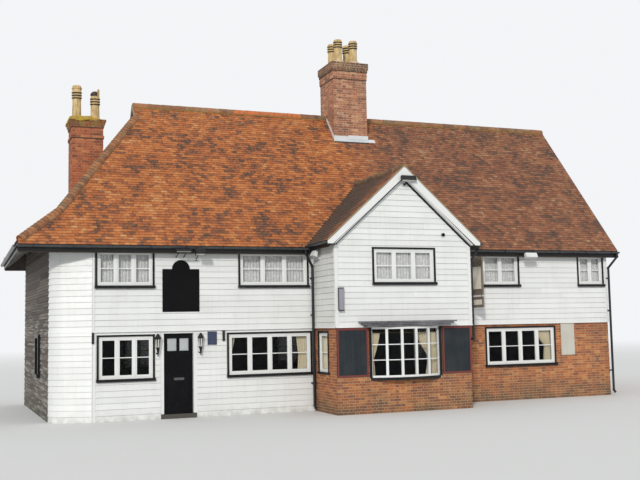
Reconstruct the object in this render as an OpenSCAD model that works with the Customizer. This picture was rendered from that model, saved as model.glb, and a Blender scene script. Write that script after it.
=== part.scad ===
// Weatherboarded village inn: two storeys, a hipped left end, a gabled front wing and two stacks.
// Lengths are in millimetres. X runs along the front to the right, Y into the depth, Z up.

/* [Main range] */
// Length of the front, from the left corner board to the right gable
front_len = 16180; // [15400:10:17500]
// Depth of the main range over its boarding
depth = 7290; // [6600:10:8200]
// Height of the tile edge at the eaves
eaves_z = 4580; // [4560:10:4800]
// Pitch of the main roof in degrees
roof_pitch = 50; // [46:1:54]
// Distance the eaves stand out from the wall
eaves_out = 250; // [150:10:350]
// Thickness of the roof: tiles, battens and rafters
roof_t = 150; // [110:10:180]
// Height of the lower edge of the upper boarding
storey_z = 2300; // [2260:10:2340]
// Thickness of the upper walls
wall_t = 240; // [180:10:280]
// Distance the lower walls stand back under the upper boarding
lower_set = 40; // [20:5:60]
// Thickness of the right gable wall
gable_t = 120; // [90:10:140]
// Distance the roof runs out over the right gable
verge_out = 270; // [100:10:350]
// Gap between a wall and the slope on top of it
seat_gap = 0.3; // [0.2:0.1:0.6]
// Top of the ground floor
floor_z = 100; // [60:10:150]
// Top of the upper floor
upper_floor_z = 2520; // [2450:10:2700]
// Thickness of the upper floor
upper_floor_t = 200; // [120:10:240]

/* [Left end] */
// Distance the rounded corner stands out to the left of the corner board
corner_out = 1000; // [800:10:1150]
// Distance the corner wall runs back over that
corner_back = 450; // [250:10:600]
// Outer radius of the rounded corner
corner_r = 500; // [350:10:700]
// Distance the side wall stands further out at the back
side_skew = 200; // [0:10:300]
// Distance the left eaves stand out from the left corner board
left_eaves_out = 1850; // [1700:10:2100]
// Height of the tile edge at the left eaves
left_eaves_z = 4680; // [4640:10:4760]
// Distance the bend of the hip end stands out
bell_out = 770; // [600:10:900]
// Height of that bend
bell_z = 5560; // [5450:10:5700]
// Distance from the corner board to the head of the hip end
hip_in = 1750; // [1500:10:2000]
// Distance from the ridge down to the head of the hip end
gablet_h = 362; // [300:2:500]
// Thickness of the gablet's boards
gablet_t = 40; // [25:5:60]
// Distance the ridge runs out over the gablet
gablet_out = 90; // [70:10:120]

/* [Front wing] */
// Distance from the corner board to the left side of the wing
wing_x = 6110; // [5900:10:6150]
// Width of the wing
wing_w = 4140; // [4000:10:4300]
// Distance the wing stands out from the front
wing_out = 1610; // [1300:10:2000]
// Pitch of the wing roof in degrees
wing_pitch = 42; // [38:1:45]
// Height of the tile edge at the eaves of the wing
wing_eaves_z = 4650; // [4620:10:4750]
// Distance the wing roof stands out at each side
wing_side_out = 210; // [150:10:260]
// Distance the wing roof stands out over its gable
wing_verge_out = 160; // [80:10:220]
// Width of the bargeboards
barge_w = 210; // [150:10:260]
// Thickness of the bargeboards
barge_t = 30; // [20:5:45]

/* [Front door] */
// Distance from the corner board to the left side of the doorway
door_x = 1780; // [1750:10:1900]
// Width of the doorway in the wall
door_w = 970; // [900:10:1020]
// Width of the jambs
jamb_w = 85; // [60:5:110]
// Height of the door head above the ground
door_head_z = 2240; // [2150:10:2240]
// Thickness of the door leaf
leaf_t = 44; // [38:1:60]
// Gap round the door leaf
leaf_gap = 6; // [5:1:8]
// Height of the threshold above the floor
threshold_h = 15; // [10:5:25]
// Width of the stiles of the door
stile_w = 105; // [80:5:130]
// Height of the top rail of the door
top_rail_h = 130; // [90:10:180]
// Width of each pane in the door
door_pane_w = 250; // [180:10:270]
// Height of the panes in the door
door_pane_h = 330; // [250:10:400]
// Height of the lower panel of the door
door_panel_h = 560; // [400:10:640]
// Height of the middle panel of the door
door_middle_h = 480; // [300:10:520]
// Height of the bottom rail of the door
bottom_rail_h = 220; // [150:10:260]
// Depth of the sunk panels
sunk = 9; // [5:1:14]
// Height of the knob above the foot of the leaf
knob_z = 950; // [850:10:1100]
// Radius of the knob
knob_r = 32; // [25:1:40]
// Radius of the hinge knuckles
knuckle_r = 9; // [7:1:12]
// Radius of the hinge pins
pin_r = 5; // [3:1:6]
// Running gap between a pin and its knuckle
pin_gap = 0.05; // [0.02:0.01:0.1]

/* [Windows] */
// Height of the upper sills
upper_sill_z = 3515; // [3400:5:3600]
// Height of the upper window heads
upper_head_z = 4420; // [4300:5:4440]
// Height of the ground sills
ground_sill_z = 1090; // [900:10:1200]
// Height of the ground window heads
ground_head_z = 2180; // [2050:10:2200]
// Width of the frame members
frame_w = 55; // [40:5:70]
// Depth of the frames
frame_d = 90; // [60:5:120]
// Distance the frames stand back from the wall face
frame_set = 10; // [5:5:40]
// Width of the casement members
sash_w = 38; // [30:1:50]
// Depth of the casements
sash_d = 45; // [30:5:60]
// Thickness of the glass
glass_t = 6; // [4:1:10]
// Width of the black trim round the windows
trim_w = 50; // [35:5:70]
// Thickness of that trim
trim_t = 24; // [15:1:35]
// Height of the sills
sill_h = 75; // [50:5:100]
// Distance the sills stand out
sill_out = 85; // [50:5:120]
// Distance the sills run past the trim
sill_side = 15; // [10:1:19]
// Distance from the corner board to the first upper window
upper_a_x = 120; // [110:10:200]
// Width of the first upper window
upper_a_w = 1440; // [1300:10:1500]
// Distance to the second upper window
upper_b_x = 3970; // [3800:10:4100]
// Width of the second upper window
upper_b_w = 1950; // [1800:10:2000]
// Distance to the first ground window
ground_a_x = 170; // [160:10:200]
// Width of the first ground window
ground_a_w = 1400; // [1250:10:1440]
// Distance to the second ground window
ground_b_x = 3640; // [3500:10:3650]
// Width of the second ground window
ground_b_w = 2360; // [2200:10:2380]
// Width of the upper window of the wing
wing_window_w = 1820; // [1600:10:1900]
// Distance to the third upper window
upper_c_x = 11620; // [11500:10:11800]
// Width of the third upper window
upper_c_w = 1240; // [1100:10:1350]
// Distance from the fourth upper window to the right end
upper_d_gap = 170; // [150:10:400]
// Width of the fourth upper window
upper_d_w = 900; // [800:10:910]
// Distance to the right ground window
ground_c_x = 11700; // [11600:10:11800]
// Width of the right ground window
ground_c_w = 2420; // [2200:10:2500]
// Distance back to the small side window
side_window_y = 2300; // [1700:10:3000]
// Width of the small side window
side_window_w = 700; // [500:10:900]
// Width of each window at the back
rear_window_w = 1440; // [1200:10:1600]
// Distance from the wing's front to its side window
return_window_y = 640; // [560:10:680]
// Width of the side window of the wing
return_window_w = 700; // [500:10:720]

/* [Bay window] */
// Width of the bay between its black posts
bay_w = 2060; // [1900:10:2200]
// Width of the black posts beside the bay
bay_post_w = 60; // [40:5:80]
// Distance the middle of the bay stands out
bay_out = 260; // [180:10:300]
// Height of the bay's sill
bay_sill_z = 950; // [900:10:1100]
// Number of lights across the bay
bay_lights = 5; // [3:1:7]
// Thickness of the bay's frame
bay_t = 70; // [50:5:90]
// Height of the underside of the hood
hood_z = 2320; // [2310:10:2360]
// Height of each of the hood's three steps
hood_step_h = 48; // [35:1:60]
// Distance each step stands out past the one below
hood_step = 75; // [50:5:90]
// Distance the lowest step runs past the bay at each side
hood_side = 170; // [120:10:200]

/* [Main chimney] */
// Distance from the corner board to the main chimney
stack_x = 8020; // [7900:10:8150]
// Width and depth of the main chimney
stack_w = 1160; // [1000:10:1250]
// Distance from the front to the main chimney
stack_y = 2880; // [2750:10:3000]
// Height of the brick top of the main chimney
stack_z = 10930; // [10500:10:11300]
// Height of the cap band
cap_h = 225; // [150:5:300]
// Distance the cap band stands out
cap_out = 60; // [30:5:90]
// Height of the neck band
neck_h = 320; // [200:5:400]
// Distance the neck band stands out
neck_out = 22; // [10:1:30]
// Distance between the pots
pot_pitch = 540; // [460:10:580]
// Height of the main pots
pot_h = 820; // [600:10:1000]
// Radius of the pots
pot_r = 128; // [100:1:140]
// Radius over the rings of the pots
ring_r = 152; // [142:1:165]
// Wall of the pots
pot_wall = 22; // [15:1:30]
// Depth of the flues under their pots
flue_depth = 600; // [300:10:900]
// Height of the lead apron
apron_h = 170; // [120:10:220]
// Thickness of the lead
lead_t = 12; // [6:1:20]
// Height of the mortar mounds round the feet of the pots
mound_h = 105; // [60:5:140]
// Radius of those mounds at their foot
mound_r = 250; // [200:5:255]

/* [Left chimney] */
// Distance from the corner board to the left chimney, to the left
left_stack_out = 190; // [100:10:300]
// Width and depth of the left chimney
left_stack_w = 900; // [800:10:1000]
// Distance from the front to the left chimney
left_stack_y = 3200; // [3000:10:3400]
// Height of the brick top of the left chimney
left_stack_z = 8600; // [8300:10:8800]
// Height of each corbelled course
corbel_h = 78; // [60:1:90]
// Distance each course stands out past the one below
corbel_out = 26; // [15:1:35]
// Number of corbelled courses
corbels = 3; // [2:1:5]
// Distance from the top down to the band
band_drop = 560; // [400:10:700]
// Height of the band
band_h = 80; // [60:1:100]
// Height of the left pot
left_pot_h = 960; // [700:10:1100]
// Height of the right pot
right_pot_h = 800; // [600:10:1000]

/* [Gutters and boards] */
// Radius of the gutters
gutter_r = 58; // [45:1:70]
// Wall of the gutters
gutter_wall = 5; // [3:1:8]
// Height of the fascia boards
fascia_h = 170; // [120:10:200]
// Thickness of the fascia boards
fascia_t = 22; // [15:1:30]
// Radius of the downpipes
pipe_r = 36; // [28:1:45]
// Distance between a downpipe and what it stands beside
pipe_gap = 24; // [21:1:30]
// Height of the swan necks
swan_h = 350; // [300:10:450]
// Height of the lowest bracket over the foot of a downpipe
bracket_z = 700; // [500:10:800]
// Height of the brackets
bracket_h = 40; // [30:5:60]
// Height at which the wing's downpipe turns back along the wall
turn_z = 1930; // [1700:10:2100]
// Distance it falls on its way back
turn_drop = 150; // [80:10:200]
// Width of the upper corner board
upper_board_w = 50; // [40:2:54]
// Width of the other corner boards
corner_board_w = 90; // [70:5:94]
// Thickness of the corner boards
corner_board_t = 26; // [18:1:35]
// Radius of the ridge tiles
ridge_r = 125; // [100:5:150]
// Thickness of the ridge tiles
ridge_t = 22; // [15:1:30]

/* [Fittings] */
// Distance from the corner board to the wall sign
sign_x = 1820; // [1700:10:1900]
// Width of the wall sign
sign_w = 1000; // [900:10:1050]
// Height of the foot of the wall sign
sign_z = 2810; // [2750:10:2900]
// Height of the square part of the wall sign
sign_h = 1140; // [1000:10:1200]
// Radius of the arched top of the wall sign
sign_arch_r = 240; // [150:10:300]
// Thickness of the sign boards
board_t = 30; // [20:1:45]
// Distance from a menu board to the bay and to the corner of the wing
menu_gap = 40; // [30:5:90]
// Width of the frames round the menu boards
board_rim = 45; // [30:5:60]
// Height of the foot of the menu boards
menu_z = 990; // [900:10:1100]
// Height of the menu boards
menu_h = 1290; // [1000:10:1300]
// Distance from the corner board to the hanging sign
hanging_x = 11110; // [11000:10:11400]
// Width of the hanging sign
hanging_w = 720; // [600:10:800]
// Height of the hanging sign
hanging_h = 1100; // [900:10:1140]
// Height of the small board under the hanging sign
under_h = 320; // [200:10:340]
// Height of the foot of the small board
under_z = 2810; // [2750:10:2850]
// Gap between the two hanging boards
hanging_step = 50; // [40:5:80]
// Distance of the hanging sign from the wall
hanging_gap = 90; // [50:10:150]
// Distance from the corner board to the plain board panel
panel_x = 14370; // [14300:10:14500]
// Width of the plain board panel
panel_w = 490; // [400:10:520]
// Height of the feet of the lanterns
lantern_z = 1640; // [1500:10:1700]
// Height of each lantern
lantern_h = 600; // [450:10:640]
// Radius of the lanterns
lantern_r = 80; // [50:5:90]
// Width of the floodlight over the wall sign
flood_w = 260; // [220:10:340]
// Depth of the floodlights across their lens
flood_d = 130; // [90:5:130]
// Height of the housings
flood_h = 150; // [90:5:160]
// Width of the rim round a lens
flood_rim = 12; // [6:1:18]
// Distance of the floodlights from the wall under the eaves
flood_out = 500; // [480:10:600]
// Tilt of the floodlights in degrees
flood_tilt = 20; // [0:5:25]
// Height of the floodlights under the eaves
flood_z = 4375; // [4330:5:4385]
// Distance an arm rises from its plate on the wall to its floodlight
arm_rise = 150; // [100:5:180]
// Distance from the corner board to the floodlight over the wall sign
sign_flood_x = 2740; // [2680:10:2850]
// Distance from the corner board to the floodlight on the right
right_flood_x = 13030; // [13000:10:13300]
// Width of that floodlight
right_flood_w = 400; // [300:10:440]
// Distance from the wing's front to the floodlight on its side
wing_flood_y = 990; // [900:10:1000]
// Distance of that floodlight from the wing
wing_flood_out = 190; // [170:5:200]
// Width of the floodlight under the wing's apex
apex_flood_w = 430; // [360:10:440]
// Distance of that floodlight to the right of the apex
apex_flood_shift = 75; // [0:5:90]
// Height of that floodlight
apex_flood_z = 6350; // [6330:5:6360]
// Distance of that floodlight from the gable
apex_flood_out = 265; // [264:1:275]
// Length of the strip light over the wall sign
strip_w = 410; // [350:10:450]
// Height of the strip light
strip_z = 4410; // [4390:5:4420]

/* [Hidden] */
$fn = 48;
eps = 10;

// Slope of the main roof, and the plumb thickness of the roofs
main_tan = tan(roof_pitch);
main_plumb = roof_t / cos(roof_pitch);
wing_tan = tan(wing_pitch);
wing_plumb = roof_t / cos(wing_pitch);
ridge_y = depth / 2;
ridge_z = eaves_z + (ridge_y + eaves_out) * main_tan;
hip_head_z = ridge_z - gablet_h;
roof_right = front_len + verge_out;
roof_left = -left_eaves_out;

// The two slopes of the hipped left end
bell_tan = (bell_z - left_eaves_z) / (left_eaves_out - bell_out);
hip_tan = (hip_head_z - bell_z) / (hip_in + bell_out);
bell_plumb = roof_t * sqrt(1 + bell_tan * bell_tan);
hip_plumb = roof_t * sqrt(1 + hip_tan * hip_tan);

// The wing
wing_mid = wing_x + wing_w / 2;
wing_right = wing_x + wing_w;
wing_half = wing_w / 2 + wing_side_out;
wing_ridge_z = wing_eaves_z + wing_half * wing_tan;
wing_front = -wing_out - wing_verge_out;
wing_window_x = wing_mid - wing_window_w / 2;
bay_x = wing_mid - bay_w / 2;
menu_w = (wing_w - bay_w) / 2 - bay_post_w - 2 * menu_gap;
wing_back = (wing_ridge_z - eaves_z) / main_tan - eaves_out;

// The rounded corner: two straight stretches and the arc between them
corner_b = [-corner_out, corner_back];
corner_c = [-corner_out - side_skew, depth];
corner_d1 = corner_b / norm(corner_b);
corner_d2 = (corner_c - corner_b) / norm(corner_c - corner_b);
corner_turn = acos(corner_d1 * corner_d2);
corner_cut = corner_r * tan(corner_turn / 2);
corner_t1 = corner_b - corner_cut * corner_d1;
corner_t2 = corner_b + corner_cut * corner_d2;
corner_n1 = inward(corner_d1);
corner_n2 = inward(corner_d2);
corner_o = corner_t1 + corner_r * corner_n1;

// The upper floor's underside closes the ground storey
upper_floor_under = upper_floor_z - upper_floor_t;
stack_pad = 20;
leaf_x = door_x + jamb_w + leaf_gap;
leaf_w = door_w - 2 * jamb_w - 2 * leaf_gap;
leaf_z = floor_z + threshold_h + leaf_gap;
leaf_h = door_head_z - leaf_gap - leaf_z;
leaf_back = lower_set + 150;
hinge_x = leaf_x - leaf_gap / 2;
hinge_y = leaf_back + knuckle_r + 0.5;
hinge_heights = [leaf_z + 200, leaf_z + leaf_h / 2, leaf_z + leaf_h - 250];
knuckle_h = 34;
bay_r = (bay_w * bay_w / 4 + bay_out * bay_out) / (2 * bay_out);
upper_d_x = front_len - upper_d_gap - upper_d_w;
rear_upper_xs = [for (i = [0:3]) (i + 0.5) * front_len / 4 - rear_window_w / 2];
rear_ground_xs = [for (i = [0:2]) (i + 0.5) * front_len / 3 - rear_window_w / 2];

function inward(d) = [d[1], -d[0]];
// Height of the main roof's underside at a distance back from the front wall
function under_main(y) = eaves_z + (min(y, depth - y) + eaves_out) * main_tan - main_plumb - seat_gap;
// Height of the wing roof's underside at a place along the front
function under_wing(x) = wing_ridge_z - abs(x - wing_mid) * wing_tan - wing_plumb - seat_gap;
// Height of the hip end's underside at a place along the front
function under_left(x) = x < -bell_out
    ? left_eaves_z + (x + left_eaves_out) * bell_tan - bell_plumb - seat_gap
    : bell_z + (x + bell_out) * hip_tan - hip_plumb - seat_gap;

// The origin stands on the ground under the middle of the main range
module house() translate([-front_len / 2, -depth / 2, 0]) children();

// Extrudes an outline in Y and Z along X, or one in X and Z along Y
module along_x(x0, x1) translate([x0, 0, 0]) rotate([90, 0, 90]) linear_extrude(x1 - x0) children();
module along_y(y0, y1) translate([0, y1, 0]) rotate([90, 0, 0]) linear_extrude(y1 - y0) children();
module block(x0, y0, z0, x1, y1, z1) translate([x0, y0, z0]) cube([x1 - x0, y1 - y0, z1 - z0]);

// A pipe from one point to another
module rod(a, b, r) {
    d = b - a;
    translate(a) rotate([0, acos(d[2] / norm(d)), atan2(d[1], d[0])]) cylinder(r = r, h = norm(d));
}

// Windows
module window_hole(x, z0, w, z1) block(x, -eps, z0, x + w, wall_t + eps, z1);

module frame(x, z0, w, z1, lights, face = 0) {
    h = z1 - z0;
    light_w = (w - (lights + 1) * frame_w) / lights;
    translate([x, face + frame_set, z0]) difference() {
        cube([w, frame_d, h]);
        for (i = [0:lights - 1])
            translate([frame_w + i * (light_w + frame_w), 0, 0]) {
                translate([sash_w, -eps, frame_w + sash_w])
                    cube([light_w - 2 * sash_w, frame_d + 2 * eps, h - 2 * frame_w - 2 * sash_w]);
                translate([0, -eps, frame_w]) cube([light_w, eps + 12, h - 2 * frame_w]);
                translate([0, 12 + sash_d, frame_w]) cube([light_w, frame_d, h - 2 * frame_w]);
            }
    }
}

module panes(x, z0, w, z1, lights, face = 0) {
    h = z1 - z0;
    light_w = (w - (lights + 1) * frame_w) / lights;
    for (i = [0:lights - 1])
        translate([x + frame_w + i * (light_w + frame_w) + sash_w + seat_gap,
            face + frame_set + 12 + sash_d / 2, z0 + frame_w + sash_w + seat_gap])
            cube([light_w - 2 * sash_w - 2 * seat_gap, glass_t, h - 2 * frame_w - 2 * sash_w - 2 * seat_gap]);
}

module trim(x, z0, w, z1, face = 0) {
    translate([0, face, 0]) difference() {
        union() {
            block(x - trim_w, -trim_t, z0, x + w + trim_w, 0, z1 + trim_w);
            block(x - trim_w - sill_side, -sill_out, z0 - sill_h, x + w + trim_w + sill_side, 0, z0);
        }
        block(x, -trim_t - eps, z0, x + w, eps, z1);
    }
}

// Turns what is drawn for the front so that it stands on the rear wall, or on the left side of the wing
module on_rear() translate([0, depth, 0]) mirror([0, 1, 0]) children();
module on_wing_left() translate([wing_x, -wing_out, 0]) mirror([1, 0, 0]) rotate([0, 0, 90]) children();
module on_left_side() {
    a = atan2(corner_d2[1], corner_d2[0]) - 90;
    translate([corner_b[0], corner_b[1], 0]) rotate([0, 0, a]) mirror([1, 0, 0]) rotate([0, 0, 90]) children();
}

// Floors
module room_outline() {
    start = atan2(-corner_n2[1], -corner_n2[0]);
    polygon([
        for (i = [0:8]) corner_o + (corner_r - wall_t) * [
            cos(start + corner_turn * i / 8), sin(start + corner_turn * i / 8)
        ],
        [0, wall_t / corner_n1[1]], [0, wall_t], [wing_x + wall_t, wall_t], [wing_x + wall_t, wall_t - wing_out],
        [wing_right - wall_t, wall_t - wing_out], [wing_right - wall_t, wall_t], [front_len - gable_t, wall_t],
        [front_len - gable_t, depth - wall_t],
        corner_t2 + (depth - wall_t - corner_t2[1]) / corner_d2[1] * corner_d2 + [wall_t / corner_n2[0], 0]
    ]);
}

module ground_floor() house() color("dimgray") linear_extrude(floor_z) room_outline();

module upper_floor() house() color("peru") difference() {
    translate([0, 0, upper_floor_under]) linear_extrude(upper_floor_t) room_outline();
    main_shaft(stack_pad);
    left_shaft(stack_pad);
}

// Front walls
module front_lower(x0, x1) block(x0, lower_set, 0, x1, wall_t, storey_z);

module front_upper(x0, x1) along_x(x0, x1)
    polygon([[0, storey_z], [wall_t, storey_z], [wall_t, under_main(wall_t)], [0, under_main(0)]]);

module front_wall_left_of_door() house() color("ghostwhite") difference() {
    front_lower(0, door_x);
    window_hole(ground_a_x, ground_sill_z, ground_a_w, ground_head_z);
}

module front_wall_right_of_door() house() color("ghostwhite") difference() {
    front_lower(door_x + door_w, wing_x);
    window_hole(ground_b_x, ground_sill_z, ground_b_w, ground_head_z);
}

module front_wall_upper_left() house() color("white") difference() {
    front_upper(0, wing_x);
    window_hole(upper_a_x, upper_sill_z, upper_a_w, upper_head_z);
    window_hole(upper_b_x, upper_sill_z, upper_b_w, upper_head_z);
}

module right_wall_lower() house() color("sienna") difference() {
    front_lower(wing_right, front_len);
    window_hole(ground_c_x, ground_sill_z, ground_c_w, ground_head_z);
}

module right_wall_upper() house() color("white") difference() {
    front_upper(wing_right, front_len);
    window_hole(upper_c_x, upper_sill_z, upper_c_w, upper_head_z);
    window_hole(upper_d_x, upper_sill_z, upper_d_w, upper_head_z);
}

// The left end: a canted wall, the rounded corner and the side wall
module straight_wall(a, b, d) polygon([a, b, b + wall_t * inward(d), a + wall_t * inward(d)]);

module corner_outline() {
    straight_wall([0, 0], corner_t1, corner_d1);
    translate(corner_o) intersection() {
        difference() {
            circle(r = corner_r, $fn = 96);
            circle(r = corner_r - wall_t, $fn = 96);
        }
        polygon(4 * corner_r * [[0, 0], -corner_n1, -corner_n1 - corner_n2, -corner_n2]);
    }
}

// Everything under the hip end's lower slopes and the main slopes
module under_roofs(x0, x1) intersection() {
    along_x(x0, x1) polygon([
        [-wing_out, 0], [-wing_out, under_main(-wing_out)], [0, under_main(0)], [ridge_y, under_main(ridge_y)],
        [depth, under_main(depth)], [depth, 0]
    ]);
    along_y(-eps, depth + eps) polygon([
        [x0, 0], [x0, under_left(x0)], [-bell_out, under_left(-bell_out)], [x1, under_left(x1)], [x1, 0]
    ]);
}

module corner_wall() house() color("white") intersection() {
    linear_extrude(eaves_z + wall_t) intersection() {
        corner_outline();
        translate([-2 * corner_out, 0]) square([2 * corner_out, depth]);
    }
    under_roofs(roof_left, 0);
}

side_sill_z = ground_sill_z + 60;
module side_hole() on_left_side() window_hole(side_window_y, side_sill_z, side_window_w, ground_head_z);

module left_side_wall() house() color("tan") difference() {
    intersection() {
        linear_extrude(eaves_z + wall_t) intersection() {
            straight_wall(corner_t2 + seat_gap * corner_d2, corner_c, corner_d2);
            translate([-2 * corner_out, 0]) square([2 * corner_out, depth - wall_t]);
        }
        under_roofs(roof_left, 0);
    }
    side_hole();
}

// Rear and right walls
module rear_wall_lower() house() color("ghostwhite") difference() {
    block(corner_c[0] + lower_set, depth - wall_t, 0, front_len - gable_t, depth - lower_set, storey_z);
    for (x = rear_ground_xs) on_rear() window_hole(x, ground_sill_z, rear_window_w, ground_head_z);
}

module rear_wall_upper() house() color("white") difference() {
    intersection() {
        along_x(corner_c[0], front_len - gable_t) polygon([
            [depth - wall_t, storey_z], [depth, storey_z], [depth, under_main(depth)],
            [depth - wall_t, under_main(depth - wall_t)]
        ]);
        along_y(depth - 2 * wall_t, depth + wall_t) polygon([
            [roof_left, 0], [roof_left, under_left(roof_left)], [-bell_out, under_left(-bell_out)],
            [hip_in, under_left(hip_in)], [front_len, under_left(hip_in)], [front_len, 0]
        ]);
    }
    for (x = rear_upper_xs) on_rear() window_hole(x, upper_sill_z, rear_window_w, upper_head_z);
}

module right_gable_wall() house() color("sienna") along_x(front_len - gable_t, front_len) polygon([
    [wall_t, 0], [depth - lower_set, 0], [depth - lower_set, storey_z], [depth, storey_z],
    [depth, under_main(depth)], [ridge_y, under_main(ridge_y)], [wall_t, under_main(wall_t)]
]);

// Wing walls
module bay_hole()
    block(bay_x, -wing_out - eps, bay_sill_z, bay_x + bay_w, wall_t - wing_out + eps, storey_z + eps);

module wing_wall_lower() house() color("sienna") difference() {
    block(wing_x + lower_set, lower_set - wing_out, 0, wing_right - lower_set, wall_t - wing_out, storey_z);
    bay_hole();
}

module wing_gable_wall() house() color("white") difference() {
    along_y(-wing_out, wall_t - wing_out) polygon([
        [wing_x, storey_z], [wing_x, under_wing(wing_x)], [wing_mid, under_wing(wing_mid)],
        [wing_right, under_wing(wing_right)], [wing_right, storey_z]
    ]);
    translate([0, -wing_out, 0]) window_hole(wing_window_x, upper_sill_z, wing_window_w, upper_head_z);
}

// A side wall of the wing, from its outer face inwards
module wing_side(outer, way) difference() {
    inner = outer + way * wall_t;
    along_y(wall_t - wing_out, wall_t) polygon([
        [outer + way * lower_set, 0], [outer + way * lower_set, storey_z], [outer, storey_z],
        [outer, under_wing(outer)], [inner, under_wing(inner)], [inner, 0]
    ]);
    over_main_underside();
}

// The space over the main roof's underside, behind the front wall
module over_main_underside() along_x(roof_left, roof_right)
    polygon([[0, under_main(0)], [ridge_y, under_main(ridge_y)], [ridge_y, 2 * ridge_z], [0, 2 * ridge_z]]);

module wing_left_wall() house() color("white") difference() {
    wing_side(wing_x, 1);
    on_wing_left() window_hole(return_window_y, ground_sill_z, return_window_w, ground_head_z);
}

module wing_right_wall() house() color("white") wing_side(wing_right, -1);

// Main roof
module left_envelope() along_y(-2 * eaves_out, depth + 2 * eaves_out) polygon([
    [roof_left, 0], [roof_left, left_eaves_z], [-bell_out, bell_z],
    [hip_in - gablet_out, hip_head_z - gablet_out * hip_tan], [hip_in - gablet_out, ridge_z + ridge_r],
    [roof_right, ridge_z + ridge_r], [roof_right, 0]
]);

module slope_slab(x0 = roof_left, x1 = roof_right) along_x(x0, x1) polygon([
    [-eaves_out, eaves_z - main_plumb], [-eaves_out, eaves_z], [ridge_y, ridge_z], [ridge_y, ridge_z - main_plumb]
]);

// The front slope comes in three stretches: left of the wing, behind it and right of it
module main_roof_front() house() color("chocolate") {
    intersection() {
        slope_slab(roof_left, wing_x - seat_gap);
        left_envelope();
    }
    difference() {
        slope_slab(wing_x, wing_right);
        block(wing_x - eps, -2 * eaves_out, 0, wing_right + eps, 0, ridge_z);
        main_shaft(0);
    }
    slope_slab(wing_right + seat_gap, roof_right);
}

module main_roof_rear() house() color("chocolate") difference() {
    intersection() {
        on_rear() slope_slab();
        left_envelope();
    }
    main_shaft(0);
}

// Everything under the main slopes
module under_main_slopes() along_x(2 * roof_left, roof_right) polygon([
    [-eaves_out, 0], [-eaves_out, eaves_z - main_plumb], [ridge_y, ridge_z - main_plumb],
    [depth + eaves_out, eaves_z - main_plumb], [depth + eaves_out, 0]
]);

module left_hip_roof() house() color("chocolate") difference() {
    intersection() {
        along_y(-eaves_out, depth + eaves_out) polygon([
            [roof_left, left_eaves_z - bell_plumb], [roof_left, left_eaves_z], [-bell_out, bell_z],
            [hip_in, hip_head_z], [hip_in, hip_head_z - hip_plumb], [-bell_out, bell_z - hip_plumb]
        ]);
        under_main_slopes();
    }
    left_shaft(0);
}

module gablet() house() color("white") intersection() {
    along_y(0, depth) polygon([
        [hip_in - gablet_t, hip_head_z - gablet_t * hip_tan + seat_gap], [hip_in - gablet_t, ridge_z],
        [hip_in, ridge_z], [hip_in, hip_head_z + seat_gap]
    ]);
    under_main_slopes();
}

// Wing roof: its slopes stop at the main slope in two valleys
module main_front_mass() difference() {
    along_x(roof_left, roof_right)
        polygon([[-eaves_out, 0], [-eaves_out, eaves_z], [ridge_y, ridge_z], [ridge_y, 0]]);
    block(wing_x, -2 * eaves_out, 0, wing_right, 0, ridge_z);
}

module wing_slope(side) difference() {
    along_y(wing_front, wing_back + wall_t) polygon([
        [wing_mid + side * wing_half, wing_eaves_z - wing_plumb], [wing_mid + side * wing_half, wing_eaves_z],
        [wing_mid, wing_ridge_z], [wing_mid, wing_ridge_z - wing_plumb]
    ]);
    main_front_mass();
}

module wing_roof_left() house() color("saddlebrown") wing_slope(-1);
module wing_roof_right() house() color("saddlebrown") wing_slope(1);

// Half-round tiles over the ridges and hips
module cap(a, b) difference() {
    rod(a, b, ridge_r);
    rod(a - (b - a) * 0.01, b + (b - a) * 0.01, ridge_r - ridge_t);
}

module main_top_mass() intersection() {
    along_x(2 * roof_left, 2 * roof_right) polygon([
        [-2 * eaves_out, 0], [-2 * eaves_out, eaves_z - eaves_out * main_tan], [ridge_y, ridge_z],
        [depth + 2 * eaves_out, eaves_z - eaves_out * main_tan], [depth + 2 * eaves_out, 0]
    ]);
    along_y(-2 * eaves_out, depth + 2 * eaves_out) polygon([
        [roof_left - eaves_out, 0], [roof_left - eaves_out, left_eaves_z - eaves_out * bell_tan], [-bell_out, bell_z],
        [hip_in - gablet_out, hip_head_z - gablet_out * hip_tan], [hip_in - gablet_out, ridge_z + ridge_r],
        [2 * roof_right, ridge_z + ridge_r], [2 * roof_right, 0]
    ]);
}

module ridge_tiles() house() color("sienna") {
    difference() {
        cap([hip_in - gablet_out, ridge_y, ridge_z - ridge_r / 2], [roof_right, ridge_y, ridge_z - ridge_r / 2]);
        translate([0, 0, seat_gap]) main_top_mass();
        main_shaft(0);
    }
    difference() {
        cap([wing_mid, wing_front, wing_ridge_z - ridge_r / 2],
            [wing_mid, wing_back + wall_t, wing_ridge_z - ridge_r / 2]);
        translate([0, 0, seat_gap]) main_front_mass();
        translate([0, 0, seat_gap]) along_y(wing_front - eps, ridge_y) polygon([
            [wing_mid - wing_half, wing_eaves_z], [wing_mid, wing_ridge_z], [wing_mid + wing_half, wing_eaves_z]
        ]);
    }
}

// Points of the hip lines, where the end slopes meet the main slopes
function hip_y(z) = (z - eaves_z) / main_tan - eaves_out;
hip_foot = [roof_left + 60, hip_y(left_eaves_z + 60 * bell_tan), left_eaves_z + 60 * bell_tan];
hip_bend = [-bell_out, hip_y(bell_z), bell_z];
hip_head = [hip_in - gablet_out, hip_y(hip_head_z - gablet_out * hip_tan), hip_head_z - gablet_out * hip_tan];
hip_drop = [0, 0, -ridge_r / 2];

module hip_line() difference() {
    union() {
        rod(hip_foot + hip_drop, hip_bend + hip_drop + 0.03 * (hip_bend - hip_foot), ridge_r);
        rod(hip_bend + hip_drop - 0.01 * (hip_head - hip_bend), hip_head + hip_drop, ridge_r);
    }
    translate([0, 0, seat_gap]) main_top_mass();
}

module hip_tiles() house() color("sienna") {
    hip_line();
    on_rear() hip_line();
}

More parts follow.
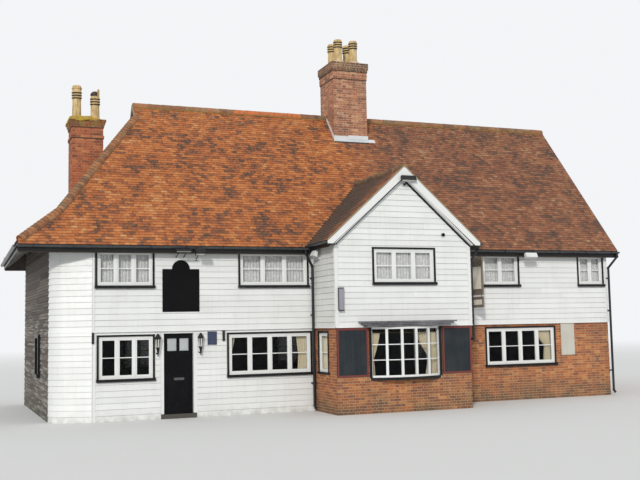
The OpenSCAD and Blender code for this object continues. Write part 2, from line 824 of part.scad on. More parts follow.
// Boards along the gables and the eaves
module barge(side) translate([wing_mid, wing_front, wing_ridge_z]) mirror([side < 0 ? 1 : 0, 0, 0])
    along_y(-barge_t, 0) polygon([
        [seat_gap / 2, -seat_gap * wing_tan], [seat_gap / 2, -barge_w / cos(wing_pitch)],
        [wing_half - barge_w * 0.55, -wing_half * wing_tan - barge_w * 0.55],
        [wing_half + 30, -wing_half * wing_tan - barge_w * 0.55], [wing_half + 30, -(wing_half + 30) * wing_tan]
    ]);

module wing_bargeboards() house() color("white") {
    barge(1);
    barge(-1);
}

module verge_board() along_x(roof_right, roof_right + fascia_t) polygon([
    [-eaves_out, eaves_z], [ridge_y - seat_gap, ridge_z], [ridge_y - seat_gap, ridge_z - fascia_h * 1.4],
    [-eaves_out, eaves_z - fascia_h]
]);

module right_bargeboards() house() color("black") {
    verge_board();
    on_rear() verge_board();
}

fascia_z = eaves_z - 20 - fascia_h;
wing_fascia_z = wing_eaves_z - 20 - fascia_h;
wing_eaves_left = wing_x - wing_side_out;
wing_eaves_right = wing_right + wing_side_out;
module front_fascia(x0, x1) block(x0, -eaves_out - fascia_t, fascia_z, x1, -eaves_out, fascia_z + fascia_h);

// Turns what is drawn left of the wing over to its right
module on_wing_right() translate([wing_mid, 0, 0]) mirror([1, 0, 0]) translate([-wing_mid, 0, 0]) children();

module wing_fascia() block(wing_eaves_left - fascia_t, wing_front, wing_fascia_z, wing_eaves_left,
    gutter_y - 2 * gutter_r - seat_gap, wing_fascia_z + fascia_h);

module fascias() house() color("black") {
    front_fascia(roof_left, wing_eaves_left);
    front_fascia(wing_eaves_right, roof_right);
    on_rear() front_fascia(roof_left, roof_right);
    block(roof_left - fascia_t, -eaves_out + seat_gap, fascia_z, roof_left, depth + eaves_out - seat_gap,
        fascia_z + fascia_h);
    wing_fascia();
    on_wing_right() wing_fascia();
}

// A half-round gutter along X at the origin, hung on its back
module gutter(length) difference() {
    translate([0, -gutter_r, 0]) rotate([0, 90, 0]) cylinder(r = gutter_r, h = length);
    translate([gutter_wall, -gutter_r, 0]) rotate([0, 90, 0])
        cylinder(r = gutter_r - gutter_wall, h = length - 2 * gutter_wall);
    translate([-eps, -3 * gutter_r, 0]) cube([length + 2 * eps, 4 * gutter_r, 2 * gutter_r]);
}

gutter_y = -eaves_out - fascia_t;
gutter_z = eaves_z - 50;
wing_gutter_z = wing_eaves_z - 50;
module front_gutter(x0, x1) translate([x0, gutter_y, gutter_z]) gutter(x1 - x0);

// The gutter at the side of the wing runs back over the end of the main gutter
module wing_gutter() translate([wing_eaves_left - fascia_t, gutter_y, wing_gutter_z]) rotate([0, 0, -90])
    gutter(gutter_y - wing_front);

module gutters() house() color("black") {
    front_gutter(roof_left - fascia_t, wing_eaves_left);
    front_gutter(wing_eaves_right, roof_right);
    on_rear() front_gutter(roof_left - fascia_t, roof_right);
    translate([roof_left - fascia_t, depth + eaves_out, gutter_z]) rotate([0, 0, -90])
        gutter(depth + 2 * eaves_out);
    wing_gutter();
    on_wing_right() wing_gutter();
}

pipe_y = lower_set - sill_out - pipe_gap - pipe_r;
pipe_foot = floor_z - 40;
elbow_r = pipe_r + 9;
wing_pipe_x = wing_right + pipe_gap + pipe_r;
wing_pipe_y = -wing_out + pipe_r;

// A pipe through a row of points with an elbow at each bend
module pipe(points) {
    last = len(points) - 1;
    for (i = [1:last]) rod(points[i], points[i - 1], pipe_r);
    for (i = [1:last - 1]) translate(points[i]) sphere(r = elbow_r, $fn = 24);
}

// The foot of a downpipe: a shoe that throws water clear of the wall
function shoe_points(x, y) = [[x, y, pipe_foot + 3 * pipe_r], [x, y - 2 * pipe_r, pipe_foot + pipe_r]];

// A downpipe on the front, from the gutter through a swan neck to its shoe
module downpipe(top_x, x) {
    top = [top_x, gutter_y - gutter_r, gutter_z - gutter_r - seat_gap];
    bend = top - [0, 0, 2 * elbow_r];
    wall = [x, pipe_y, bend[2] - swan_h];
    pipe(concat([top, bend, wall], shoe_points(x, pipe_y)));
    for (z = [pipe_foot + bracket_z, storey_z + bracket_z / 2, wall[2] - bracket_z / 2])
        block(x - pipe_r - pipe_gap / 2, pipe_y, z, x + pipe_r + pipe_gap / 2, z > storey_z ? 0 : lower_set,
            z + bracket_h);
}

// The wing's own downpipe turns back along the side wall to the inner corner
module wing_downpipe() {
    x = wing_pipe_x;
    y = wing_pipe_y;
    top = [wing_eaves_right + fascia_t + gutter_r, y, wing_gutter_z - gutter_r - seat_gap];
    bend = top - [0, 0, 2 * elbow_r];
    wall = [x, y, bend[2] - swan_h];
    pipe(concat([top, bend, wall, [x, y, turn_z], [x, pipe_y, turn_z - turn_drop]], shoe_points(x, pipe_y)));
    for (z = [storey_z + bracket_z / 2, wall[2] - bracket_z / 2])
        block(wing_right, y - bracket_h / 2, z, x, y + bracket_h / 2, z + bracket_h);
    block(wing_right - lower_set, pipe_y - bracket_h / 2, pipe_foot + bracket_z, x, pipe_y + bracket_h / 2,
        pipe_foot + bracket_z + bracket_h);
}

module downpipes() house() color("black") {
    downpipe(wing_eaves_left - 2 * gutter_r, wing_x - pipe_gap - pipe_r);
    downpipe(roof_right - 2 * pipe_r, front_len + 10);
    wing_downpipe();
}

module wing_corner_board(x0, x1)
    block(x0, -wing_out - corner_board_t, storey_z, x1, -wing_out, under_wing(wing_x));

module corner_boards() house() color("white") {
    block(0, -corner_board_t, storey_z, upper_board_w, 0, fascia_z);
    block(0, lower_set - corner_board_t, 0, corner_board_w, lower_set, storey_z - seat_gap);
    wing_corner_board(wing_x, wing_x + corner_board_w);
    wing_corner_board(wing_right - corner_board_w, wing_right);
}

// Chimneys
module main_shaft(pad) block(stack_x - pad, stack_y - pad, floor_z, stack_x + stack_w + pad,
    stack_y + stack_w + pad, stack_z - cap_h);

module left_shaft(pad) block(-left_stack_out - pad, left_stack_y - pad, floor_z,
    left_stack_w - left_stack_out + pad, left_stack_y + left_stack_w + pad, left_stack_z - corbels * corbel_h);

module flue(x, y, z, r) translate([x, y, z - flue_depth]) cylinder(r = r, h = flue_depth + eps);

// The mound of mortar that a pot stands in
module mound(p, z) translate([p[0], p[1], z - eps]) difference() {
    cylinder(r1 = mound_r, r2 = pot_r + pot_foot + 2 * pot_wall, h = mound_h + eps);
    translate([0, 0, -eps]) cylinder(r = pot_r + pot_foot + seat_gap, h = mound_h + 3 * eps);
}

module main_chimney() house() color("indianred") difference() {
    union() {
        main_shaft(0);
        block(stack_x - neck_out, stack_y - neck_out, stack_z - cap_h - neck_h, stack_x + stack_w + neck_out,
            stack_y + stack_w + neck_out, stack_z - cap_h);
        block(stack_x - cap_out, stack_y - cap_out, stack_z - cap_h, stack_x + stack_w + cap_out,
            stack_y + stack_w + cap_out, stack_z);
        block(stack_x - cap_out * 0.6, stack_y - cap_out * 0.6, stack_z - cap_h - 60,
            stack_x + stack_w + cap_out * 0.6, stack_y + stack_w + cap_out * 0.6, stack_z - cap_h);
        for (p = main_pot_places) mound(p, stack_z);
    }
    for (p = main_pot_places) flue(p[0], p[1], stack_z, pot_r - pot_wall);
}

stack_mid = [stack_x + stack_w / 2, stack_y + stack_w / 2];
main_pot_places = [for (i = [-1, 1], j = [-1, 1]) stack_mid + pot_pitch / 2 * [i, j]];
left_mid = [left_stack_w / 2 - left_stack_out, left_stack_y + left_stack_w / 2];
left_pot_places = [left_mid - [pot_pitch / 2, 0], left_mid + [pot_pitch / 2, 0]];

// A round pot with rings under its lip
pot_foot = 14;
module pot(h) rotate_extrude() polygon([
    [pot_r - pot_wall, 0], [pot_r + pot_foot, 0], [pot_r + pot_foot / 2, 90], [pot_r, h * 0.55],
    for (i = [0:2]) each [
        [pot_r, h - 260 + i * 80], [ring_r, h - 245 + i * 80], [ring_r, h - 215 + i * 80], [pot_r, h - 200 + i * 80]
    ],
    [pot_r, h], [pot_r - pot_wall, h]
]);

module chimney_pots() house() color("khaki") {
    for (p = main_pot_places) translate([p[0], p[1], stack_z]) pot(pot_h);
    translate([left_pot_places[0][0], left_pot_places[0][1], left_stack_z]) pot(left_pot_h);
    translate([left_pot_places[1][0], left_pot_places[1][1], left_stack_z]) pot(right_pot_h);
}

// Lead round the main chimney: an apron in front and a sloping strip at each side
module main_chimney_lead() house() color("gainsboro") {
    front_z = eaves_z + (stack_y + eaves_out) * main_tan;
    difference() {
        union() {
            block(stack_x - lead_t, stack_y - lead_t, front_z - lead_t, stack_x + stack_w + lead_t, stack_y,
                front_z + apron_h);
            for (x = [stack_x - lead_t, stack_x + stack_w]) along_x(x, x + lead_t) polygon([
                [stack_y, front_z], [stack_y, front_z + apron_h], [ridge_y, ridge_z + apron_h * 0.6],
                [stack_y + stack_w, ridge_z + apron_h * 0.6 - (stack_y + stack_w - ridge_y) * main_tan],
                [stack_y + stack_w, ridge_z - (stack_y + stack_w - ridge_y) * main_tan], [ridge_y, ridge_z]
            ]);
        }
        translate([0, 0, seat_gap]) main_top_mass();
        rod([0, ridge_y, ridge_z - ridge_r / 2], [roof_right, ridge_y, ridge_z - ridge_r / 2], ridge_r + seat_gap);
    }
}

module left_chimney() house() color("indianred") difference() {
    union() {
        left_shaft(0);
        for (i = [1:corbels]) {
            out = i * corbel_out;
            z = left_stack_z - (corbels - i + 1) * corbel_h;
            block(-left_stack_out - out, left_stack_y - out, z, left_stack_w - left_stack_out + out,
                left_stack_y + left_stack_w + out, z + corbel_h);
        }
        block(-left_stack_out - corbel_out, left_stack_y - corbel_out, left_stack_z - band_drop,
            left_stack_w - left_stack_out + corbel_out, left_stack_y + left_stack_w + corbel_out,
            left_stack_z - band_drop + band_h);
        for (p = left_pot_places) mound(p, left_stack_z);
    }
    for (p = left_pot_places) flue(p[0], p[1], left_stack_z, pot_r - pot_wall);
}

// Windows of the front
module upper_window_frames() house() color("white") {
    frame(upper_a_x, upper_sill_z, upper_a_w, upper_head_z, 3);
    frame(upper_b_x, upper_sill_z, upper_b_w, upper_head_z, 3);
    frame(upper_c_x, upper_sill_z, upper_c_w, upper_head_z, 2);
    frame(upper_d_x, upper_sill_z, upper_d_w, upper_head_z, 2);
    frame(wing_window_x, upper_sill_z, wing_window_w, upper_head_z, 3, -wing_out);
}

module ground_window_frames() house() color("white") {
    frame(ground_a_x, ground_sill_z, ground_a_w, ground_head_z, 3, lower_set);
    frame(ground_b_x, ground_sill_z, ground_b_w, ground_head_z, 4, lower_set);
    frame(ground_c_x, ground_sill_z, ground_c_w, ground_head_z, 4, lower_set);
    on_left_side() frame(side_window_y, side_sill_z, side_window_w, ground_head_z, 1);
    on_wing_left() frame(return_window_y, ground_sill_z, return_window_w, ground_head_z, 1, lower_set);
}

module rear_window_frames() house() color("white") on_rear() {
    for (x = rear_upper_xs) frame(x, upper_sill_z, rear_window_w, upper_head_z, 3);
    for (x = rear_ground_xs) frame(x, ground_sill_z, rear_window_w, ground_head_z, 3, lower_set);
}

module window_trims() house() color("black") {
    trim(upper_a_x, upper_sill_z, upper_a_w, upper_head_z);
    trim(upper_b_x, upper_sill_z, upper_b_w, upper_head_z);
    trim(upper_c_x, upper_sill_z, upper_c_w, upper_head_z);
    trim(upper_d_x, upper_sill_z, upper_d_w, upper_head_z);
    trim(ground_a_x, ground_sill_z, ground_a_w, ground_head_z, lower_set);
    trim(ground_b_x, ground_sill_z, ground_b_w, ground_head_z, lower_set);
    trim(ground_c_x, ground_sill_z, ground_c_w, ground_head_z, lower_set);
    trim(wing_window_x, upper_sill_z, wing_window_w, upper_head_z, -wing_out);
    on_left_side() trim(side_window_y, side_sill_z, side_window_w, ground_head_z, -seat_gap);
    on_rear() {
        for (x = rear_upper_xs) trim(x, upper_sill_z, rear_window_w, upper_head_z);
        for (x = rear_ground_xs) trim(x, ground_sill_z, rear_window_w, ground_head_z, lower_set);
    }
}

module front_glass() house() color("slategray") {
    panes(upper_a_x, upper_sill_z, upper_a_w, upper_head_z, 3);
    panes(upper_b_x, upper_sill_z, upper_b_w, upper_head_z, 3);
    panes(upper_c_x, upper_sill_z, upper_c_w, upper_head_z, 2);
    panes(upper_d_x, upper_sill_z, upper_d_w, upper_head_z, 2);
    panes(ground_a_x, ground_sill_z, ground_a_w, ground_head_z, 3, lower_set);
    panes(ground_b_x, ground_sill_z, ground_b_w, ground_head_z, 4, lower_set);
    panes(ground_c_x, ground_sill_z, ground_c_w, ground_head_z, 4, lower_set);
    panes(wing_window_x, upper_sill_z, wing_window_w, upper_head_z, 3, -wing_out);
    on_left_side() panes(side_window_y, side_sill_z, side_window_w, ground_head_z, 1);
    on_wing_left() panes(return_window_y, ground_sill_z, return_window_w, ground_head_z, 1, lower_set);
    bay_panes();
}

module rear_glass() house() color("slategray") on_rear() {
    for (x = rear_upper_xs) panes(x, upper_sill_z, rear_window_w, upper_head_z, 3);
    for (x = rear_ground_xs) panes(x, ground_sill_z, rear_window_w, ground_head_z, 3, lower_set);
}

// The bay: a shallow bow between the sill and the hood
bay_mid = bay_x + bay_w / 2;
bay_face = lower_set - wing_out;
bay_centre_y = bay_face - bay_out + bay_r;

module bow(r_out, r_in) intersection() {
    difference() {
        translate([bay_mid, bay_centre_y]) circle(r = r_out, $fn = 360);
        translate([bay_mid, bay_centre_y]) circle(r = r_in, $fn = 360);
    }
    translate([bay_x, bay_face - 2 * bay_out]) square([bay_w, 2 * bay_out + wall_t]);
}

bay_h = storey_z - bay_sill_z;
bay_angle = 2 * asin(bay_w / 2 / bay_r);
light_w = bay_w / bay_lights - frame_w;

// Places what is drawn for the middle of a light at each light of the bay
module at_lights() for (i = [0:bay_lights - 1])
    translate([bay_mid, bay_centre_y, bay_sill_z + frame_w])
        rotate([0, 0, (i + 0.5) * bay_angle / bay_lights - bay_angle / 2])
        translate([-light_w / 2, -bay_r, 0]) children();

module bay_window_frame() house() color("white") difference() {
    translate([0, 0, bay_sill_z]) linear_extrude(bay_h - seat_gap) bow(bay_r, bay_r - bay_t);
    at_lights() translate([0, -eps, 0]) cube([light_w, 2 * bay_t, bay_h - 2 * frame_w]);
}

module bay_panes() at_lights() translate([seat_gap, bay_t / 2, seat_gap])
    cube([light_w - 2 * seat_gap, glass_t, bay_h - 2 * frame_w - 2 * seat_gap]);

module bay_post(x) block(x, bay_face - 2 * trim_t, bay_sill_z, x + bay_post_w, bay_face, storey_z - seat_gap);

module bay_surround() house() color("black") {
    translate([0, 0, bay_sill_z - sill_h - seat_gap]) linear_extrude(sill_h) intersection() {
        translate([bay_mid, bay_centre_y]) circle(r = bay_r + sill_side, $fn = 480);
        translate([bay_x - bay_post_w, bay_face - 2 * bay_out])
            square([bay_w + 2 * bay_post_w, 2 * bay_out - seat_gap]);
    }
    bay_post(bay_x - bay_post_w);
    bay_post(bay_x + bay_w);
}

// A stepped cornice over the bay
module bay_hood() house() color("black") for (i = [0:2]) {
    side = bay_post_w + hood_side + i * hood_step;
    block(bay_x - side, -wing_out - bay_out + lower_set - (i + 1) * hood_step / 2, hood_z + i * hood_step_h,
        bay_x + bay_w + side, -wing_out, hood_z + (i + 1) * hood_step_h);
}

// Front door
module door_frame() house() color("white") {
    y0 = lower_set;
    y1 = leaf_back;
    block(door_x, y0, floor_z, door_x + jamb_w, y1, storey_z);
    block(door_x + door_w - jamb_w, y0, floor_z, door_x + door_w, y1, storey_z);
    block(door_x + jamb_w, y0, door_head_z, door_x + door_w - jamb_w, y1, storey_z);
    block(door_x, y0, 0, door_x + door_w, wall_t, floor_z);
    block(door_x + jamb_w, y0, floor_z, door_x + door_w - jamb_w, y1, floor_z + threshold_h);
    for (z = hinge_heights) {
        for (s = [-1.5, 0.5]) translate([0, 0, z + s * knuckle_h]) {
            translate([hinge_x, hinge_y, 0]) cylinder(r = knuckle_r, h = knuckle_h - 1);
            block(hinge_x - 45, leaf_back, 0, hinge_x - leaf_gap / 2, hinge_y, knuckle_h - 1);
        }
        translate([hinge_x, hinge_y, z - 1.5 * knuckle_h]) cylinder(r = pin_r, h = 3 * knuckle_h - 1);
    }
}

pane_z = leaf_z + leaf_h - top_rail_h - door_pane_h;

// Places what is drawn for one half of the door on both halves
module door_halves() for (x = [leaf_x + stile_w, leaf_x + leaf_w - stile_w - door_pane_w])
    translate([x, leaf_back, 0]) children();

module knob() rotate_extrude() polygon([
    [0, 0], [knob_r * 0.9, 0], [knob_r * 0.9, 6], [knob_r * 0.4, 10], [knob_r * 0.35, 26], [knob_r * 0.85, 34],
    [knob_r, 46], [knob_r * 0.8, 58], [0, 62]
]);

module door_leaf() house() color("dimgray") difference() {
    union() {
        block(leaf_x, leaf_back - leaf_t, leaf_z, leaf_x + leaf_w, leaf_back, leaf_z + leaf_h);
        for (z = hinge_heights) translate([0, 0, z - knuckle_h / 2]) {
            translate([hinge_x, hinge_y, 0]) cylinder(r = knuckle_r, h = knuckle_h - 1);
            block(hinge_x, leaf_back, 0, hinge_x + 45, leaf_back + 4, knuckle_h - 1);
        }
        translate([leaf_x + leaf_w - stile_w / 2, leaf_back - leaf_t, leaf_z + knob_z]) rotate([90, 0, 0]) knob();
    }
    for (z = hinge_heights) translate([hinge_x, hinge_y, z - knuckle_h])
        cylinder(r = pin_r + pin_gap, h = 2 * knuckle_h);
    door_halves() {
        translate([0, -leaf_t - eps, pane_z]) cube([door_pane_w, leaf_t + 2 * eps, door_pane_h]);
        // Sunk panels on both faces
        for (y = [-leaf_t - eps, -sunk], p = [
            [bottom_rail_h, door_panel_h],
            [pane_z - leaf_z - top_rail_h - door_middle_h, door_middle_h]
        ]) translate([0, y, leaf_z + p[0]]) cube([door_pane_w, sunk + eps, p[1]]);
    }
}

module door_panes() house() color("slategray") door_halves()
    translate([seat_gap, -leaf_t / 2, pane_z + seat_gap])
    cube([door_pane_w - 2 * seat_gap, glass_t, door_pane_h - 2 * seat_gap]);

// Signs and lamps
module sign_outline() {
    translate([sign_x, sign_z]) square([sign_w, sign_h]);
    intersection() {
        translate([sign_x + sign_w / 2, sign_z + sign_h]) circle(r = sign_arch_r);
        translate([sign_x, sign_z + sign_h]) square([sign_w, sign_arch_r]);
    }
}

module wall_sign() house() color("black") difference() {
    along_y(-board_t, 0) sign_outline();
    along_y(-board_t - eps, -board_t * 0.7)
        translate([sign_x + board_rim, sign_z + board_rim]) square([sign_w - 2 * board_rim, sign_h - 2 * board_rim]);
}

module menu_boards() house() color("black")
    for (x = [wing_x + menu_gap, wing_right - menu_gap - menu_w]) difference() {
        block(x, bay_face - board_t, menu_z, x + menu_w, bay_face, menu_z + menu_h);
        block(x + board_rim, bay_face - board_t - eps, menu_z + board_rim, x + menu_w - board_rim,
            bay_face - board_t * 0.6, menu_z + menu_h - board_rim);
    }

// A board of the hanging sign, sunk on both faces inside its frame
module hanging_board(z, h) difference() {
    block(hanging_x, -hanging_gap - hanging_w, z, hanging_x + board_t * 1.4, -hanging_gap, z + h);
    for (x = [hanging_x - eps, hanging_x + board_t])
        block(x, -hanging_gap - hanging_w + board_rim, z + board_rim, x + board_t * 0.4 + eps,
            -hanging_gap - board_rim, z + h - board_rim);
}

module hanging_sign() house() color("saddlebrown") {
    upper_z = under_z + under_h + hanging_step;
    top = upper_z + hanging_h;
    mid = hanging_x + board_t * 0.7;
    hanging_board(under_z, under_h);
    hanging_board(upper_z, hanging_h);
    for (y = [-hanging_gap - 100, -hanging_gap - hanging_w + 100])
        block(mid - 8, y - 8, under_z + under_h - board_rim / 2, mid + 8, y + 8, upper_z + board_rim / 2);
    block(mid - 12, -hanging_gap - hanging_w - 40, top, mid + 12, 0, top + 30);
    block(mid - 40, -12, top - 260, mid + 40, 0, top + 30);
}

module board_panel() house() color("lightgray")
    block(panel_x, lower_set - board_t, ground_sill_z + 220, panel_x + panel_w, lower_set, storey_z - 10);

// A six-sided lantern that tapers down to its foot, held by a bracket
module lantern(x) {
    translate([x, lower_set - lantern_r * 1.3, lantern_z]) {
        cylinder(r1 = lantern_r * 0.12, r2 = lantern_r * 0.55, h = lantern_h * 0.35, $fn = 6);
        translate([0, 0, lantern_h * 0.35])
            cylinder(r1 = lantern_r * 0.55, r2 = lantern_r, h = lantern_h * 0.45, $fn = 6);
        translate([0, 0, lantern_h * 0.8])
            cylinder(r1 = lantern_r * 1.15, r2 = lantern_r * 0.25, h = lantern_h * 0.2, $fn = 6);
    }
    block(x - 12, lower_set - lantern_r * 1.3, lantern_z + lantern_h * 0.3, x + 12, lower_set,
        lantern_z + lantern_h * 0.35);
    block(x - 35, lower_set - 12, lantern_z + lantern_h * 0.1, x + 35, lower_set, lantern_z + lantern_h * 0.5);
}

// A lamp that looks down: its housing narrows upwards, and its lens lies inside a rim
module lamp_housing(w, d, h) difference() {
    along_x(-w / 2, w / 2) polygon([[-d / 2, -h / 2], [d / 2, -h / 2], [d * 0.3, h / 2], [-d * 0.3, h / 2]]);
    block(-w / 2 + flood_rim, -d / 2 + flood_rim, -h / 2 - eps, w / 2 - flood_rim, d / 2 - flood_rim,
        -h / 2 + flood_rim / 2);
}

// The arm of a lamp, from a plate on the wall up to the back of the housing
module lamp_arm(x, face, z, out) {
    plate_t = 12;
    rod([x, face - plate_t * 0.8, z - arm_rise], [x, face - out, z], 12);
    block(x - 35, face - plate_t, z - arm_rise - 45, x + 35, face, z - arm_rise + 45);
}

module floodlight(x, face, z, out = flood_out, w = flood_w) {
    translate([x, face - out, z]) rotate([-flood_tilt, 0, 0]) lamp_housing(w, flood_d, flood_h);
    lamp_arm(x, face, z, out);
}

module strip_light(x) {
    translate([x, -flood_out, strip_z]) rotate([-flood_tilt, 0, 0])
        lamp_housing(strip_w, flood_d * 0.6, flood_h * 0.45);
    for (side = [-1, 1]) lamp_arm(x + side * strip_w / 4, 0, strip_z, flood_out);
}

module lanterns() house() color("black") {
    lantern(door_x - 90);
    lantern(door_x + door_w + 90);
    floodlight(sign_flood_x, 0, flood_z);
    floodlight(wing_mid + apex_flood_shift, -wing_out, apex_flood_z, apex_flood_out, apex_flood_w);
    strip_light(sign_x + sign_w / 2 - 25);
}

module white_lamps() house() color("ivory") {
    floodlight(right_flood_x, 0, flood_z, flood_out, right_flood_w);
    on_wing_left() floodlight(wing_flood_y, 0, flood_z - 25, wing_flood_out);
}

ground_floor();
upper_floor();
front_wall_left_of_door();
front_wall_right_of_door();
front_wall_upper_left();
corner_wall();
left_side_wall();
rear_wall_lower();
rear_wall_upper();
right_gable_wall();
right_wall_lower();
right_wall_upper();
wing_wall_lower();
wing_gable_wall();
wing_left_wall();
wing_right_wall();
main_roof_front();
main_roof_rear();
left_hip_roof();
gablet();
wing_roof_left();
wing_roof_right();
ridge_tiles();
hip_tiles();
wing_bargeboards();
right_bargeboards();
fascias();
gutters();
downpipes();
corner_boards();
main_chimney();
main_chimney_lead();
left_chimney();
chimney_pots();
upper_window_frames();
ground_window_frames();
bay_window_frame();
rear_window_frames();
window_trims();
front_glass();
rear_glass();
bay_surround();
bay_hood();
door_frame();
door_leaf();
door_panes();
wall_sign();
menu_boards();
hanging_sign();
board_panel();
lanterns();
white_lamps();
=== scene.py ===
# Dresses the weatherboarded inn: boards, bricks, peg tiles, glazing, curtains and small fittings over its solids
import math
import random

import bmesh
import bpy
from mathutils import Matrix, Vector, noise

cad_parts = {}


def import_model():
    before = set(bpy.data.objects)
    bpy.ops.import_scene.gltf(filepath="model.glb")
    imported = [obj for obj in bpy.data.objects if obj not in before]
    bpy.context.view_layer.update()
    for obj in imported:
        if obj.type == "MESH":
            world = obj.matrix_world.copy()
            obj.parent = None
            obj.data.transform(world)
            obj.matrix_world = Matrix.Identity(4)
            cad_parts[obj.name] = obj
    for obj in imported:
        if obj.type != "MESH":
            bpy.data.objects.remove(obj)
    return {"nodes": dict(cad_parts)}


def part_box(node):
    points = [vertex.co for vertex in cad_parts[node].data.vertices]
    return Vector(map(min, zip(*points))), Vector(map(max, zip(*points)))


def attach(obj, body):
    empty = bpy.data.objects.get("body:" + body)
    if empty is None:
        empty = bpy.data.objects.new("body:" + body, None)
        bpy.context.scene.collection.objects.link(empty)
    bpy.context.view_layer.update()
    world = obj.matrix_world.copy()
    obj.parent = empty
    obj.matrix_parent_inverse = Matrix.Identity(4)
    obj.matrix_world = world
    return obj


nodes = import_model()["nodes"]
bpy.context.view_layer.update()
deg = math.radians


# Places worked out from the model's parts, in metres
def low(node):
    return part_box(node)[0]


def high(node):
    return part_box(node)[1]


pitch = {"main": deg(50), "wing": deg(42)}
mainSlope, wingSlope = math.tan(pitch["main"]), math.tan(pitch["wing"])
gauges = {"board": 0.158, "tile": 0.1}
leftX = low("front_wall_upper_left").x
rightX = high("right_wall_upper").x
frontY = low("front_wall_upper_left").y
lowerY = low("front_wall_right_of_door").y
sideDrop = lowerY - frontY
rearY = high("rear_wall_upper").y
rearLowerY = high("rear_wall_lower").y
storeyZ = low("wing_gable_wall").z
wingLeft = low("wing_gable_wall").x
wingRight = high("wing_gable_wall").x
wingY = low("wing_gable_wall").y
wingLowerY = low("wing_wall_lower").y
wingMid = high("wing_roof_left").x
wingHalf = wingMid - low("wing_roof_left").x
wingRidgeZ = high("wing_roof_left").z
wingVergeY = low("wing_roof_left").y
wingEavesZ = wingRidgeZ - wingHalf * wingSlope
ridgeY = low("main_roof_rear").y
ridgeZ = high("main_roof_rear").z
eavesY = low("main_roof_front").y
eavesZ = ridgeZ - (ridgeY - eavesY) * mainSlope
roofLeft = low("main_roof_front").x
roofRight = high("main_roof_front").x
wallTopZ = eavesZ + 0.06
sideWindowX = leftX - 0.9


def solidBoxes(node):
    # Lowest and highest corner of each separate solid in a node
    mesh = bmesh.new()
    mesh.from_mesh(nodes[node].data)
    bmesh.ops.remove_doubles(mesh, verts=mesh.verts, dist=1e-5)
    boxes, seen = [], set()
    for first in mesh.verts:
        if first in seen:
            continue
        seen.add(first)
        stack, members = [first], []
        while stack:
            vertex = stack.pop()
            members.append(vertex.co.copy())
            fresh = {edge.other_vert(vertex) for edge in vertex.link_edges} - seen
            seen |= fresh
            stack += fresh
        boxes.append((Vector(map(min, zip(*members))), Vector(map(max, zip(*members)))))
    mesh.free()
    return boxes


# Small helpers for node trees
def addNode(tree, kind, inputs=(), **settings):
    node = tree.nodes.new(kind)
    for name, value in settings.items():
        setattr(node, name, value)
    for key, value in dict(inputs).items():
        value = getattr(value, "socket", value)
        if isinstance(value, bpy.types.NodeSocket):
            tree.links.new(value, node.inputs[key])
        else:
            node.inputs[key].default_value = value
    return node


def newTree(name, kind, inputs, output):
    tree = bpy.data.node_groups.new(name, kind)
    for label, socketKind, value in inputs:
        socket = tree.interface.new_socket(name=label, in_out="INPUT", socket_type="NodeSocket" + socketKind)
        if value is not None:
            socket.default_value = value
    tree.interface.new_socket(name=output, in_out="OUTPUT", socket_type="NodeSocket" + output)
    return tree, tree.nodes.new("NodeGroupInput").outputs, tree.nodes.new("NodeGroupOutput").inputs[0]


def reckon(operation):
    return lambda value, other=0.0: value.calc(operation, other)


class Value:
    # A number in a shader tree; what is reckoned with it becomes Math nodes
    def __init__(self, tree, socket):
        self.tree, self.socket = tree, socket

    def calc(self, operation, other=0.0, clamp=False, turned=False):
        inputs = {0: other, 1: self} if turned else {0: self, 1: other}
        node = addNode(self.tree, "ShaderNodeMath", inputs, operation=operation, use_clamp=clamp)
        return Value(self.tree, node.outputs[0])

    def __rsub__(self, other):
        return self.calc("SUBTRACT", other, turned=True)

    __add__, __sub__, __mul__, __truediv__ = map(reckon, ("ADD", "SUBTRACT", "MULTIPLY", "DIVIDE"))
    __lt__, __gt__, __pow__, __abs__ = map(reckon, ("LESS_THAN", "GREATER_THAN", "POWER", "ABSOLUTE"))
    most, fraction = map(reckon, ("MAXIMUM", "FRACT"))

    def spread(self, fromLow, fromHigh, toLow=0.0, toHigh=1.0):
        ends = {0: self, 1: fromLow, 2: fromHigh, 3: toLow, 4: toHigh}
        return Value(self.tree, addNode(self.tree, "ShaderNodeMapRange", ends).outputs[0])


def objectPlace(tree):
    return addNode(tree, "ShaderNodeTexCoord").outputs["Object"]


def placeParts(tree):
    # The x, y and z of the object's own coordinates
    parts = addNode(tree, "ShaderNodeSeparateXYZ", {0: objectPlace(tree)}).outputs
    return [Value(tree, part) for part in parts]


def noiseValue(tree, place, scale, detail=2.0):
    node = addNode(tree, "ShaderNodeTexNoise", {"Vector": place, "Scale": scale, "Detail": detail})
    return Value(tree, node.outputs[0])


def stretched(tree, given):
    inputs = {0: objectPlace(tree), 1: given["Stretch"]}
    return addNode(tree, "ShaderNodeVectorMath", inputs, operation="MULTIPLY").outputs[0]


# Shader effects that several finishes share
def mottle(tree, given):
    # Blotches from noise in the object's own coordinates
    blotches = noiseValue(tree, stretched(tree, given), given["Scale"], given["Detail"])
    return blotches.spread(given["Low"], given["High"])


def grain(tree, given):
    # Fine height for bump: a coarse and a fine noise added together
    place = stretched(tree, given)
    return noiseValue(tree, place, given["Scale"]) + noiseValue(tree, place, given["Scale"] * 4.0) * given["Fine"]


def splash(tree, given):
    # Mud thrown up from the ground, thinning out with height
    fade = placeParts(tree)[2].spread(0.0, given["Top"], 1.0, 0.0)
    return fade ** 2.0 * noiseValue(tree, objectPlace(tree), 6.0, 5.0).spread(0.3, 0.7)


